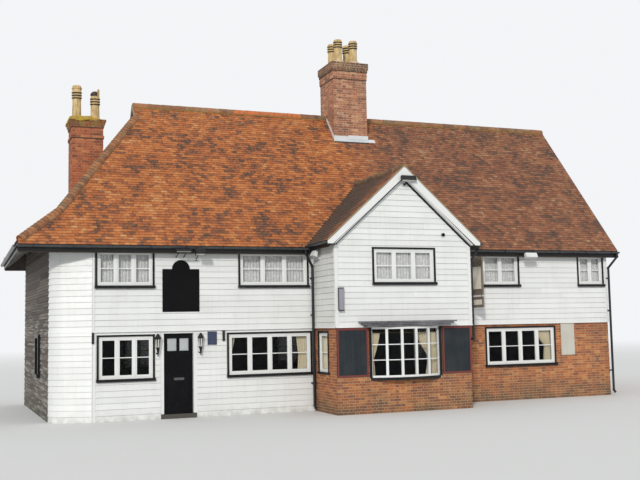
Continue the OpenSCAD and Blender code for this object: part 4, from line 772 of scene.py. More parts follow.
def boardWall(points, face, footZ, topZ, holes=(), limits=None):
    # Courses of boards up a face; limits gives the two ends at a height, as under a gable
    z = footZ
    while z < topZ - boards["least"]:
        s0, s1 = limits(z) if limits else (0.0, face.length)
        if s1 - s0 < 0.05:
            break
        for p0, p1, z0, z1 in cutPieces((s0, s1, z, min(z + gauges["board"], topZ)), holes, boards["least"]):
            cut = p0
            while cut < p1 - 1e-6:
                reach = cut + points.dice.uniform(boards["shortest"], boards["longest"])
                if p1 - reach < boards["lastPart"]:
                    reach = p1
                share = 1 - (1 - featherEdge) * (z0 - z) / gauges["board"]
                size = (reach - cut - boards["gap"], boards["butt"] * share, z1 - z0)
                points.add(face.place((cut + reach) / 2, z0), (0, 0, face.turn), size)
                cut = reach
        z += gauges["board"]


def layBoards(name, seed, walls, finish="whiteBoards", laySeed=None):
    points = Points(seed)
    for wall in walls:
        boardWall(points, *wall)
    jitter = ((0.002, 0.0006, 0.0), (0.0, 0.0015, 0.001))
    layPieces(name, points, boardPiece, finish, jitter, laySeed or seed + 10)


def gableEnds(z):
    half = min(gable.length / 2, (high("wing_gable_wall").z - z) / wingSlope)
    inset = boards["lowerInset"] if z < high("corner_boards").z - 0.12 else 0.0
    return gable.length / 2 - half + inset, gable.length / 2 + half - inset


upperFront = WallFace((leftX, frontY), (wingLeft, frontY))
lowerFront = WallFace((leftX, lowerY), (wingLeft, lowerY))
rightFront = WallFace((wingRight, frontY), (rightX, frontY))
gable = WallFace((wingLeft, wingY), (wingRight, wingY))
wingLeftFace = WallFace((wingLeft, frontY), (wingLeft, wingY))
wingRightFace = WallFace((wingRight, wingY), (wingRight, frontY))
rearFace = WallFace((rightX, rearY), (low("rear_wall_upper").x, rearY))
rearLower = WallFace((rightX, rearLowerY), (low("rear_wall_lower").x, rearLowerY))
signLow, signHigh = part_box("wall_sign")
signHole = upperFront.hole((signLow, Vector((signHigh.x, signHigh.y, signHigh.z - 0.24))), -0.03)
doorHole = lowerFront.hole(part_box("door_frame"))
layBoards("front_boards_left", 11, (
    (upperFront, storeyZ, wallTopZ, [*upperFront.holes(trimBoxes), signHole],
     lambda z: (boards["upperInset"], upperFront.length)),
    (lowerFront, 0.0, storeyZ, [*lowerFront.holes(trimBoxes), doorHole],
     lambda z: (boards["lowerInset"], lowerFront.length)),
))
layBoards("front_boards_right", 12, [(rightFront, storeyZ, wallTopZ, rightFront.holes(trimBoxes))])
layBoards("gable_boards", 13, [(gable, storeyZ, high("wing_gable_wall").z, gable.holes(trimBoxes), gableEnds)])
layBoards("wing_boards_left", 14, [(wingLeftFace, storeyZ, wingEavesZ - 0.05)], "dirtyShadedBoards")
layBoards("wing_boards_right", 15, [(wingRightFace, storeyZ, wingEavesZ - 0.05)])
layBoards("rear_boards", 16, (
    (rearFace, storeyZ, wallTopZ, rearFace.holes(trimBoxes)),
    (rearLower, 0.0, storeyZ, rearLower.holes(trimBoxes)),
))

# The left end: boards swept round the corner, and the side wall
corner = {"radius": 0.5, "out": 1.0, "back": 0.45, "steps": 10, "lap": 0.02}
cornerA = Vector((leftX, frontY))
cornerB = Vector((leftX - corner["out"], frontY + corner["back"]))
cornerC = Vector((low("rear_wall_upper").x, rearY))
wayIn, wayOut = (cornerB - cornerA).normalized(), (cornerC - cornerB).normalized()
cornerTurn = wayIn.angle(wayOut)
cornerCut = corner["radius"] * math.tan(cornerTurn / 2)
arcEnd = cornerB + wayOut * cornerCut
cornerMiddle = cornerB - wayIn * cornerCut + Vector((wayIn.y, -wayIn.x)) * corner["radius"]
arcStart = math.atan2(arcEnd.y - cornerMiddle.y, arcEnd.x - cornerMiddle.x)
cornerPath = [arcEnd + wayOut * corner["lap"]]
for i in range(corner["steps"] + 1):
    angle = arcStart + cornerTurn * i / corner["steps"]
    cornerPath.append(cornerMiddle + corner["radius"] * Vector((math.cos(angle), math.sin(angle))))
cornerPath.append(cornerA)
dice = random.Random(17)
lineVerts, lineEdges, lineShades = [], [], []
for footZ, topZ in ((0.0, storeyZ), (storeyZ, wallTopZ)):
    for i in range(int((topZ - footZ) / gauges["board"]) + 1):
        first = len(lineVerts)
        lineVerts += [(p.x, p.y, footZ + i * gauges["board"]) for p in cornerPath]
        lineEdges += [(first + k, first + k + 1) for k in range(len(cornerPath) - 1)]
        lineShades += [dice.random()] * len(cornerPath)
lines = newMesh("cornerLines", lineVerts, (), lineEdges)
lines.attributes.new("shade", "FLOAT", "POINT").data.foreach_set("value", lineShades)
swept = grow("corner_boards_swept", lines, sweepTree, {
    "Gauge": gauges["board"], "Butt": boards["butt"], "Edge": boards["edge"], "Finish": finishes["whiteBoards"],
})
mount(swept)

sideFace = WallFace(cornerC, arcEnd)
sideBoxes = [box for box in frameBoxes if box[0].x < sideWindowX]
layBoards("side_boards", 18, [(sideFace, 0.0, high("left_side_wall").z, sideFace.holes(sideBoxes, 0.05))],
          "weatheredShadedBoards", 27)

# Bricks in Flemish bond
bricks = {"long": 0.2155, "short": 0.1025, "high": 0.0645, "joint": 0.0105, "proud": 0.005, "least": 0.02}
brickCourse = bricks["high"] + bricks["joint"]
brickPiece = unitBox("brickPiece", (0.492, -1, 0.025), (0.5, 0.4, 0), (0.492, -1, 0.975), (0.5, 0.4, 1))


def brickWall(points, shadeTop, face, footZ, topZ, holes=(), limits=None):
    # Courses of stretchers and headers up a face, darker above shadeTop
    count = max(1, round((topZ - footZ) / brickCourse))
    course = (topZ - footZ) / count
    for i in range(count):
        z = footZ + i * course
        s0, s1 = limits(z) if limits else (0.0, face.length)
        s0 -= bricks["proud"] * (i % 2)
        s1 += bricks["proud"] * (i % 2)
        if s1 - s0 < 0.06:
            continue
        s = s0 if i % 2 else s0 - bricks["short"] / 2 - bricks["joint"] / 2
        stretcher = i % 2 == 0
        while s < s1:
            width = bricks["long"] if stretcher else bricks["short"]
            whole = (max(s, s0), min(s + width, s1), z + bricks["joint"] / 2, z + course - bricks["joint"] / 2)
            if whole[1] - whole[0] > bricks["least"]:
                for p0, p1, z0, z1 in cutPieces(whole, holes, bricks["least"]):
                    shade = points.dice.random() * (1.0 if stretcher else 0.85)
                    if shadeTop and z > shadeTop:
                        shade *= 0.55
                    size = (p1 - p0, bricks["proud"], z1 - z0)
                    points.add(face.place((p0 + p1) / 2, z0), (0, 0, face.turn), size, shade)
            s += width + bricks["joint"]
            stretcher = not stretcher


def layBricks(name, seed, finish, walls, shadeTop=None):
    points = Points(seed)
    for wall in walls:
        brickWall(points, shadeTop, *wall)
    jitter = ((0.006, 0.004, 0.006), (0.001, 0.001, 0.001))
    layPieces(name, points, brickPiece, finish, jitter, seed + 10)


def mainGableEnds(z):
    half = min(gableHigh.length / 2 - 0.24, (gablePeakZ - z) / mainSlope)
    return gableHigh.length / 2 - half, gableHigh.length / 2 + half


bandShadeZ = 1.95
lowerRight = WallFace((wingRight, lowerY), (rightX, lowerY))
wingLower = WallFace((low("wing_wall_lower").x, wingLowerY), (high("wing_wall_lower").x, wingLowerY))
wingSideLeft = WallFace((wingLeft + sideDrop, lowerY), (wingLeft + sideDrop, wingLowerY))
wingSideRight = WallFace((wingRight - sideDrop, wingLowerY), (wingRight - sideDrop, lowerY))
rightGable = WallFace((rightX, lowerY), (rightX, rearLowerY))
gableHigh = WallFace((rightX, frontY), (rightX, rearY))
gablePeakZ = high("right_gable_wall").z
returnBoxes = [box for box in frameBoxes if abs(box[0].x - wingLeft) < 0.2 and box[1].y < frontY]
layBricks("front_bricks", 31, "brick", [(lowerRight, 0.0, storeyZ, lowerRight.holes(trimBoxes))], bandShadeZ)
layBricks("wing_bricks", 32, "brick", (
    (wingLower, 0.0, storeyZ, [wingLower.hole(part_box("bay_surround"))]),
    (wingSideLeft, 0.0, storeyZ, wingSideLeft.holes(returnBoxes)),
    (wingSideRight, 0.0, storeyZ),
), bandShadeZ)
layBricks("gable_bricks", 33, "brick", (
    (rightGable, 0.0, storeyZ), (gableHigh, storeyZ, gablePeakZ - 0.02, (), mainGableEnds),
))


def widen(outline, by):
    x0, y0, x1, y1 = outline
    return x0 - by, y0 - by, x1 + by, y1 + by


def shaftOutline(node, out):
    # The shaft of a stack from above, inside the parts that stand out
    lo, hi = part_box(node)
    return widen((lo.x, lo.y, hi.x, hi.y), -out)


def stackWalls(outline, *bands):
    # bands gives (foot, top, how far it stands out) up the stack
    walls = []
    for foot, top, out in bands:
        x0, y0, x1, y1 = widen(outline, out)
        corners = [(x0, y0), (x1, y0), (x1, y1), (x0, y1)]
        walls += [(WallFace(*ends), foot, top) for ends in zip(corners, corners[1:] + corners[:1])]
    return walls


moundHigh = 0.105
mainStack = {"capHigh": 0.225, "neckHigh": 0.32, "ledge": 0.06, "capOut": 0.06, "neckOut": 0.022, "courses": 29}
mainOutline = shaftOutline("main_chimney", mainStack["capOut"])
mainTop = high("main_chimney").z - moundHigh
capFoot = mainTop - mainStack["capHigh"]
ledgeZ = capFoot - mainStack["ledge"]
neckFoot = capFoot - mainStack["neckHigh"]
leftStack = {"corbelHigh": 0.078, "corbelOut": 0.026, "corbels": 3, "bandDrop": 0.56, "bandHigh": 0.08, "courses": 38}
leftOutline = shaftOutline("left_chimney", leftStack["corbels"] * leftStack["corbelOut"])
leftTop = high("left_chimney").z - moundHigh
bandFoot = leftTop - leftStack["bandDrop"]
bandTop = bandFoot + leftStack["bandHigh"]
corbelFoot = leftTop - leftStack["corbels"] * leftStack["corbelHigh"]
corbels = [(corbelFoot + i * leftStack["corbelHigh"], corbelFoot + (i + 1) * leftStack["corbelHigh"],
            (i + 1) * leftStack["corbelOut"]) for i in range(leftStack["corbels"])]
for name, seed, finish, walls in (
        ("main_stack_bricks", 34, "stackBrick", stackWalls(
            mainOutline, (neckFoot - mainStack["courses"] * brickCourse, neckFoot, 0.0),
            (neckFoot, ledgeZ, mainStack["neckOut"]))),
        ("main_cap_bricks", 35, "sootyBrick", stackWalls(
            mainOutline, (ledgeZ, capFoot, mainStack["capOut"] * 0.6), (capFoot, mainTop, mainStack["capOut"]))),
        ("left_stack_bricks", 36, "redStackBrick", stackWalls(
            leftOutline, (bandFoot - leftStack["courses"] * brickCourse, bandFoot, 0.0),
            (bandFoot, bandTop, leftStack["corbelOut"]), (bandTop, corbelFoot, 0.0))),
        ("left_corbel_bricks", 37, "mossyBrick", stackWalls(leftOutline, *corbels))):
    layBricks(name, seed, finish, walls)

# Peg tiles; a tile is cambered, its tail at y 0 and its head under the next course
tiles = {"wide": 0.165, "tail": 0.014, "head": 0.002, "sunk": 0.004, "camber": 0.0022, "gap": 0.003, "least": 0.03,
         "overhang": 0.03}
verts, faces = [], []
for y, top in ((0.0, tiles["tail"]), (1.1, tiles["head"])):
    for x, rise in ((-0.5, 0.0), (0.0, tiles["camber"]), (0.5, 0.0)):
        verts += [(x, y, -tiles["sunk"]), (x, y, top + rise)]
for k in (0, 2):
    faces += [(k + 1, k + 3, k + 9, k + 7), (k, k + 6, k + 8, k + 2)]
    faces += [(k, k + 2, k + 3, k + 1), (k + 6, k + 7, k + 9, k + 8)]
tilePiece = unitPiece("tilePiece", verts, [*faces, (0, 1, 7, 6), (4, 10, 11, 5)])


def tileSlope(points, start, along, slopeAngle, footZ, topZ, spans):
    # start is the eaves point from which s is measured; spans gives the stretches to tile at a height
    along = Vector(along)
    inward = Vector((-along.y, along.x))
    turn = math.atan2(along.y, along.x)
    rise = math.sin(slopeAngle) * gauges["tile"]
    z = footZ - tiles["overhang"] * math.sin(slopeAngle)
    course = 0
    while z < topZ - 0.01:
        back = (z - footZ) / math.tan(slopeAngle)
        for s0, s1 in spans(max(z, footZ), z + rise):
            s = math.floor(s0 / tiles["wide"]) * tiles["wide"] - tiles["wide"] * (course % 2) / 2
            while s < s1:
                p0, p1 = max(s, s0), min(s + tiles["wide"], s1)
                if p1 - p0 > tiles["least"]:
                    foot = Vector(start) + along * (p0 + p1) / 2 + inward * back
                    size = (p1 - p0 - tiles["gap"], gauges["tile"], 1.0)
                    points.add((foot.x, foot.y, z), (slopeAngle, 0, turn), size)
                s += tiles["wide"]
        z += rise
        course += 1


def layTiles(name, seed, finish, *slopes):
    points = Points(seed)
    for slope in slopes:
        tileSlope(points, *slope)
    jitter = ((0.012, 0.010, 0.012), (0.0015, 0.0015, 0.0015))
    layPieces(name, points, tilePiece, finish, jitter, seed + 10)


def splitSpan(spans, a, b):
    left = []
    for s0, s1 in spans:
        if b <= s0 or a >= s1:
            left.append((s0, s1))
        else:
            left += [p for p in ((s0, a), (b, s1)) if p[1] > p[0]]
    return left


hip = {"bellX": leftX - 0.77, "bellZ": 5.56, "eavesZ": 4.68, "headX": high("left_hip_roof").x - 0.09}
hipTopZ = high("left_hip_roof").z
bellSlope = (hip["bellZ"] - hip["eavesZ"]) / (hip["bellX"] - roofLeft)
hipSlope = (hipTopZ - hip["bellZ"]) / (high("left_hip_roof").x - hip["bellX"])
bellAngle, hipAngle = math.atan(bellSlope), math.atan(hipSlope)
hipBackY = 2 * ridgeY - eavesY
mainShaft, leftShaft = widen(mainOutline, 0.012), widen(leftOutline, 0.012)


def hipLineX(z):
    # Where the left end cuts a main slope at a height
    if z < hip["bellZ"]:
        return max(roofLeft, roofLeft + (z - hip["eavesZ"]) / bellSlope)
    return min(hip["headX"], hip["bellX"] + (z - hip["bellZ"]) / hipSlope)


def mainY(z):
    # How far back the front slope is at a height
    return eavesY + (z - eavesZ) / mainSlope


def frontSpans(z, zNext):
    spans = [(hipLineX(z) - roofLeft, roofRight - roofLeft)]
    if z < wingRidgeZ:
        half = min(wingHalf, (wingRidgeZ - z) / wingSlope) - 0.03
        if half > 0:
            spans = splitSpan(spans, wingMid - half - roofLeft, wingMid + half - roofLeft)
    if mainY(zNext) > mainShaft[1]:
        spans = splitSpan(spans, mainShaft[0] - roofLeft, mainShaft[2] - roofLeft)
    return spans


def rearSpans(z, zNext):
    spans = [(0.0, roofRight - hipLineX(z))]
    if 2 * ridgeY - mainY(zNext) < mainShaft[3]:
        spans = splitSpan(spans, roofRight - mainShaft[2], roofRight - mainShaft[0])
    return spans


def hipSpans(z, zNext):
    y0 = mainY(z)
    spans = [(hipBackY - (2 * ridgeY - y0), hipBackY - y0)]
    if hipLineX(zNext) > leftShaft[0] and hipLineX(z) < leftShaft[2]:
        spans = splitSpan(spans, hipBackY - leftShaft[3], hipBackY - leftShaft[1])
    return spans


mainHeights = (pitch["main"], eavesZ, ridgeZ - 0.02)
wingHeights = (pitch["wing"], wingEavesZ, wingRidgeZ - 0.02)
layTiles("front_tiles", 51, "roofTiles", ((roofLeft, eavesY), (1, 0), *mainHeights, frontSpans))
layTiles("rear_tiles", 52, "roofTiles", ((roofRight, hipBackY), (-1, 0), *mainHeights, rearSpans))
layTiles("hip_end_tiles", 53, "roofTiles",
         ((roofLeft, hipBackY), (0, -1), bellAngle, hip["eavesZ"], hip["bellZ"], hipSpans),
         ((hip["bellX"], hipBackY), (0, -1), hipAngle, hip["bellZ"] + 0.03, hipTopZ, hipSpans))
layTiles("wing_tiles_left", 54, "mossyTiles", ((wingMid - wingHalf, eavesY), (0, -1), *wingHeights,
                                               lambda z, zNext: [(-mainY(zNext) + eavesY - 0.02, eavesY - wingVergeY)]))
layTiles("wing_tiles_right", 55, "wingTiles", ((wingMid + wingHalf, wingVergeY), (0, 1), *wingHeights,
                                               lambda z, zNext: [(0.0, mainY(zNext) - wingVergeY + 0.02)]))

# Half-round tiles on the ridges and hips; a tile lies along x and is a little wider at one end
ridges = {"long": 0.45, "radius": 0.131, "wall": 0.02, "gap": 0.012, "sides": 14, "sunk": 0.0625}
verts, faces = [], []
for x, scale in ((-0.5, 1.0), (0.5, 0.965)):
    for k in range(ridges["sides"] + 1):
        angle = math.pi * (1.14 * k / ridges["sides"] - 0.07)
        for radius in (1.0, 1 - ridges["wall"] / ridges["radius"]):
            verts.append((x, radius * scale * math.cos(angle), radius * scale * math.sin(angle)))
row = 2 * (ridges["sides"] + 1)
for k in range(0, row - 2, 2):
    faces += [(k, k + row, k + row + 2, k + 2), (k + 1, k + 3, k + row + 3, k + row + 1)]
    faces += [(k, k + 2, k + 3, k + 1), (k + row, k + row + 1, k + row + 3, k + row + 2)]
faces += [(0, 1, row + 1, row), (row - 2, 2 * row - 2, 2 * row - 1, row - 1)]
ridgePiece = unitPiece("ridgePiece", verts, faces)


def capLine(points, start, end, fresh=None, gauge=ridges["long"], lap=0.0, tilt=0.0):
    # Ridge tiles from start to end; fresh is the stretch of x with new ones, lap how far each runs over the next
    start, end = Vector(start), Vector(end)
    count = max(1, round((end - start).length / gauge))
    step = (end - start) / count
    turn = (step.to_track_quat("X", "Z").to_matrix() @ Matrix.Rotation(tilt, 3, "Y")).to_euler()
    for i in range(count):
        middle = start + step * (i + 0.5)
        shade = points.dice.uniform(0.0, 0.85)
        if fresh and fresh[0] < middle.x < fresh[1]:
            shade = points.dice.uniform(0.94, 1.0)
        size = (step.length + lap if lap else step.length - ridges["gap"], ridges["radius"], ridges["radius"])
        points.add(middle, turn, size, shade)


def layCaps(name, seed, finish, lines, jitter=((0.006, 0.006, 0.006), (0.002, 0.002, 0.002)), **kind):
    points = Points(seed)
    for line in lines:
        capLine(points, *line, **kind)
    layPieces(name, points, ridgePiece, finish, jitter, seed + 10)


drop = Vector((0, 0, ridges["sunk"]))
capZ, wingCapZ = ridgeZ - drop.z, wingRidgeZ - drop.z
footZ = hip["eavesZ"] + 0.06 * bellSlope
headZ = hip["bellZ"] + (hip["headX"] - hip["bellX"]) * hipSlope
hipLines = []
for side in (1, -1):
    foot = Vector((roofLeft + 0.06, side * mainY(footZ), footZ)) - drop
    bend = Vector((hip["bellX"], side * mainY(hip["bellZ"]), hip["bellZ"])) - drop
    head = Vector((hip["headX"], side * mainY(headZ), headZ)) - drop
    hipLines += [(foot, bend), (bend, head)]
layCaps("cap_tiles", 56, "ridgeClay", (
    ((hip["headX"], ridgeY, capZ), (mainOutline[0], ridgeY, capZ), (-3.3, -1.2)),
    ((mainOutline[2], ridgeY, capZ), (roofRight, ridgeY, capZ)),
))
layCaps("hip_cap_tiles", 58, "hipClay", hipLines, ((0.012, 0.012, 0.02), (0.003, 0.003, 0.002)),
        gauge=0.125, lap=0.035, tilt=deg(5))
layCaps("wing_cap_tiles", 57, "mossyClay", [((wingMid, mainY(wingRidgeZ), wingCapZ), (wingMid, wingVergeY, wingCapZ))])

# Glazing bars across the middle of each light
bars = {"high": 0.022, "deep": 0.026}
plainShade = 0.8
squareBar = unitBox("squareBar", (0.5, -0.5, -0.5), (0.5, 0.5, -0.5), (0.5, -0.5, 0.5), (0.5, 0.5, 0.5))


def layBars(name, finish, places, body="building"):
    # Square-edged pieces, each given by its middle, its size and, where it isn't square to the axes, its turn
    points = Points(72)
    for middle, size, *turn in places:
        points.add(middle, turn[0] if turn else (0, 0, 0), size, plainShade)
    layPieces(name, points, squareBar, finish, body=body)


bayLow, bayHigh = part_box("bay_window_frame")
bay = {"lights": 5, "frame": 0.055, "deep": 0.07, "rows": 3}
bayMid, bayWide = (bayLow.x + bayHigh.x) / 2, bayHigh.x - bayLow.x
bayOut = wingLowerY - bayLow.y
bayRadius = (bayWide * bayWide / 4 + bayOut * bayOut) / (2 * bayOut)
bayMiddle = Vector((bayMid, bayLow.y + bayRadius))
bayAngle = 2 * math.asin(bayWide / 2 / bayRadius)
bayLight = bayWide / bay["lights"]
rowHigh = (storeyZ - bayLow.z - 2 * bay["frame"]) / bay["rows"]
glazingBars = []
for lo, hi in paneBoxes:
    size, middle = hi - lo, (lo + hi) / 2
    if bayLow.y < middle.y < bayHigh.y and bayLow.x < middle.x < bayHigh.x and lo.z < storeyZ:
        continue
    turn = 0 if size.x > size.y else math.pi / 2
    glazingBars.append((middle, (max(size.x, size.y), bars["deep"], bars["high"]), (0, 0, turn)))
for i in range(bay["lights"]):
    angle = (i + 0.5) * bayAngle / bay["lights"] - bayAngle / 2
    spot = bayMiddle + (bayRadius - bay["deep"] / 2 - 0.003) * Vector((math.sin(angle), -math.cos(angle)))
    for row in range(1, bay["rows"]):
        z = bayLow.z + bay["frame"] + row * rowHigh
        glazingBars.append(((spot.x, spot.y, z), (bayLight - bay["frame"], bars["deep"], bars["high"]), (0, 0, angle)))
layBars("glazing_bars", "whitePaint", glazingBars)

# White mouldings: along the foot of the upper storey and up its right end
drip = {"high": 0.036, "out": 0.036, "shade": 0.9}
points = Points(73)
for face in (upperFront, rightFront, gable, wingLeftFace, wingRightFace, rearFace):
    size = (face.length, drip["out"], drip["high"])
    points.add(face.place(face.length / 2, storeyZ), (0, 0, face.turn), size, drip["shade"])
layPieces("drip_boards", points, boardPiece, "whitePaint")
cornerHigh = wallTopZ - storeyZ
cornerMidZ = storeyZ + cornerHigh / 2
layBars("right_corner_board", "whitePaint", (
    ((rightX - 0.041, frontY - 0.014, cornerMidZ), (0.078, 0.028, cornerHigh)),
    ((rightX + 0.004, frontY + 0.030, cornerMidZ), (0.016, 0.090, cornerHigh)),
    ((rightX + 0.004, frontY - 0.020, cornerMidZ), (0.014, 0.014, cornerHigh), (0, 0, math.pi / 4)),
))

# Behind the wing's bargeboards: white soffits, and a black moulding where they meet the wall
barge = {"wide": 0.21, "thick": 0.03, "soffit": 0.02, "bead": 0.052, "beadOut": 0.028, "strip": 0.036, "gap": 0.007}
bargeY, bargeFootZ = low("wing_bargeboards").y, low("wing_bargeboards").z
wingCos = math.cos(pitch["wing"])
wingFaceY = wingY - barge["gap"]
wallReach = wingRight - wingMid


def alongBarge(side, under, high, y0, y1, reach):
    # A bar down one slope: its lower face that far under the roof line, measured square to the slope
    topZ = wingRidgeZ - under / wingCos
    run = Vector((reach, 0, -reach * wingSlope))
    middle = Vector((wingMid + side * run.x / 2, (y0 + y1) / 2, topZ + run.z / 2 + high / 2 / wingCos))
    return middle, (run.length, abs(y1 - y0), high), (0, side * pitch["wing"], 0)


soffits, beads, strips = [], [], []
for side in (-1, 1):
    soffits.append(alongBarge(side, barge["wide"], barge["soffit"], bargeY + barge["thick"], wingFaceY,
                              wallReach + 0.03))
    beads.append(alongBarge(side, barge["wide"] + barge["bead"], barge["bead"], wingFaceY - barge["beadOut"],
                            wingFaceY, wallReach))
    beads.append(((wingMid + side * (wallReach + 0.12), bargeY + 0.022, bargeFootZ - 0.012), (0.27, 0.056, 0.026)))
    strips.append(alongBarge(side, 0.010, barge["strip"], bargeY - 0.006, bargeY + 0.035, wingHalf + 0.02))
for side in (-1, 1):
    foot = Vector((hip["headX"] - 0.012, side * mainY(headZ), headZ - 0.03))
    run = Vector((hip["headX"] - 0.012, ridgeY, ridgeZ - 0.03)) - foot
    strips.append((foot + run / 2, (run.length + 0.03, 0.03, 0.075), run.to_track_quat("X", "Z").to_euler()))
layBars("barge_soffits", "whitePaint", soffits)
layBars("barge_beads", "blackPaint", beads)
layBars("verge_mortar", "vergeMortar", strips)

# A second sheet of lead over the apron's right part, and the apron's end on the tiles
leadLow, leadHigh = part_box("main_chimney_lead")
leadWide = leadHigh.x - leadLow.x
apronZ = eavesZ + (leadLow.y - eavesY) * mainSlope
layBars("lead_laps", "lead", (
    ((leadHigh.x - leadWide * 0.29 + 0.008, leadLow.y - 0.004, apronZ + 0.15), (leadWide * 0.58, 0.012, 0.13)),
    ((leadHigh.x + 0.008, leadLow.y + 0.06, apronZ + 0.18), (0.012, 0.14, 0.11)),
    ((leadHigh.x + 0.13, leadLow.y + 0.02, apronZ + 0.02 * mainSlope + 0.035), (0.27, 0.15, 0.012),
     (pitch["main"], 0, 0)),
))

# Dark bars in the corners under the bands that stand out round the stacks: partly soot in the mortar, partly painted
# shade under the bands
fillet = {"thick": 0.022, "high": 0.024, "out": 0.008}
fillets = []
for outline, foot, bandOut in ((mainOutline, ledgeZ, mainStack["neckOut"]), (mainOutline, neckFoot, 0.0),
                               (leftOutline, corbelFoot, 0.0), (leftOutline, bandFoot, 0.0)):
    x0, y0, x1, y1 = outline
    out = bandOut + fillet["out"]
    x, y, z = (x0 + x1) / 2, (y0 + y1) / 2, foot - fillet["high"] / 2
    longWay, shortWay = x1 - x0 + 2 * out + fillet["thick"], y1 - y0 + 2 * out - fillet["thick"]
    for side in (-1, 1):
        fillets.append(((x, y + side * ((y1 - y0) / 2 + out), z), (longWay, fillet["thick"], fillet["high"])))
        fillets.append(((x + side * ((x1 - x0) / 2 + out), y, z), (fillet["thick"], shortWay, fillet["high"])))
layBars("stack_fillets", "sootAndShadeMortar", fillets)


def meshPiece(name, mesh, finish):
    mesh.materials.append(finishes[finish])
    mount(newObject(name, mesh))
    print("stage:", name, len(mesh.polygons), "faces")


# The mortar at the end of the wing's ridge: a rounded lump, uneven all over
lumpMiddle = Vector((wingMid, wingVergeY + 0.01, wingRidgeZ - 0.005))
lumpSize, lumpSeed, ripple = (0.13, 0.035, 0.07), 3.0, 0.22
lump = bmesh.new()
bmesh.ops.create_icosphere(lump, subdivisions=4, radius=1.0)
for vertex in lump.verts:
    swell = 1 + ripple * noise.noise(vertex.co * 2.1 + Vector((lumpSeed, 0, 0)))
    swell += ripple * 0.4 * noise.noise(vertex.co * 6.0 + Vector((0, lumpSeed, 0)))
    vertex.co = lumpMiddle + Vector([c * s * swell for c, s in zip(vertex.co, lumpSize)])
lumpMesh = bpy.data.meshes.new("ridge_end")
lump.to_mesh(lumpMesh)
lump.free()
lumpMesh.shade_smooth()
meshPiece("ridge_end", lumpMesh, "goldBedding")


def flaunchMesh(name, x0, y0, x1, y1, footZ, rise, seed, steps=28):
    # A mound of mortar over the top of a stack, lowest along its edges
    verts, faces = [], []
    for j in range(steps + 1):
        for i in range(steps + 1):
            x, y = x0 + (x1 - x0) * i / steps, y0 + (y1 - y0) * j / steps
            inset = min(x - x0, x1 - x, y - y0, y1 - y)
            lift = 0.016 + rise * (1 - math.exp(-inset / 0.09))
            rough = noise.noise(Vector((x * 7, y * 7, seed))) * 0.5 + noise.noise(Vector((x * 19, y * 19, seed))) * 0.3
            verts.append((x, y, footZ + lift * (1 + 0.5 * rough)))
    wide = steps + 1
    for k in range(steps * wide):
        if k % wide < steps:
            faces.append((k, k + 1, k + wide + 1, k + wide))
    rim = list(range(wide)) + [j * wide + steps for j in range(1, wide)]
    rim += [steps * wide + i for i in range(steps - 1, -1, -1)] + [j * wide for j in range(steps - 1, 0, -1)]
    first = len(verts)
    verts += [(verts[k][0], verts[k][1], footZ - 0.05 - 0.04 * noise.noise(Vector(verts[k]) * 9)) for k in rim]
    for n, k in enumerate(rim):
        after = (n + 1) % len(rim)
        faces.append((k, first + n, first + after, rim[after]))
    return newMesh(name, verts, [*faces, tuple(range(first + len(rim) - 1, first - 1, -1))])


mound = {"edge": 0.012, "wide": 0.78, "seed": 5.0}
stackLow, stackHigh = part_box("left_chimney")
meshPiece("left_flaunching", flaunchMesh(
    "left_flaunching", stackLow.x - mound["edge"], stackLow.y - mound["edge"], stackLow.x + mound["wide"],
    stackHigh.y + mound["edge"], leftTop, moundHigh, mound["seed"]), "mustardMortar")


def turnedMesh(name, profile, box, start=0, end=360, sides=28, lean=0):
    # A profile of (radius, height) turned in degrees about the upright over a box, then leant; part turns are closed
    whole = end - start == 360
    steps = sides if whole else max(3, round(sides * (end - start) / 360))
    count = steps if whole else steps + 1
    middle = Vector(((box[0].x + box[1].x) / 2, (box[0].y + box[1].y) / 2, box[1].z))
    tilt = Matrix.Rotation(deg(lean), 3, "Y")
    verts, faces = [], []
    for radius, rise in profile:
        for k in range(count):
            angle = deg(start) + deg(end - start) * k / steps
            verts.append(middle + tilt @ Vector((radius * math.cos(angle), radius * math.sin(angle), rise)))
    rows = len(profile)
    for row in range(rows):
        below, above = row * count, (row + 1) % rows * count
        for k in range(steps):
            after = (k + 1) % count
            faces.append((below + k, below + after, above + after, above + k))
    if not whole:
        faces.append(tuple(row * count for row in range(rows)))
        faces.append(tuple(row * count + steps for row in range(rows - 1, -1, -1)))
    mesh = newMesh(name, verts, faces)
    tidied = bmesh.new()
    tidied.from_mesh(mesh)
    bmesh.ops.recalc_face_normals(tidied, faces=tidied.faces)
    tidied.to_mesh(mesh)
    tidied.free()
    return mesh


# Over the two pots on the left stack: a ringed hood, and what is left of a guard
leftPot, rightPot = sorted((b for b in solidBoxes("chimney_pots") if b[0].x < leftX + 2), key=lambda b: b[0].x)
hoodProfile = ((0.106, -0.004), (0.128, 0.0), (0.128, 0.022), (0.152, 0.036), (0.152, 0.062), (0.128, 0.076),
               (0.134, 0.100), (0.126, 0.124), (0.098, 0.142), (0.070, 0.146), (0.066, 0.138), (0.104, 0.110))
guardProfile = ((0.100, -0.020), (0.104, -0.020), (0.132, 0.060), (0.120, 0.110), (0.070, 0.150), (0.066, 0.146),
                (0.114, 0.106), (0.126, 0.060))
stubProfile = ((0.106, -0.004), (0.128, -0.004), (0.130, 0.215), (0.108, 0.190))
meshPiece("pot_hood", turnedMesh("pot_hood", hoodProfile, leftPot), "buffClay")
meshPiece("pot_guard", turnedMesh("pot_guard", guardProfile, rightPot, 70, 330, lean=-9), "rustyMetal")
meshPiece("pot_stub", turnedMesh("pot_stub", stubProfile, rightPot, -62, -8), "buffClay")

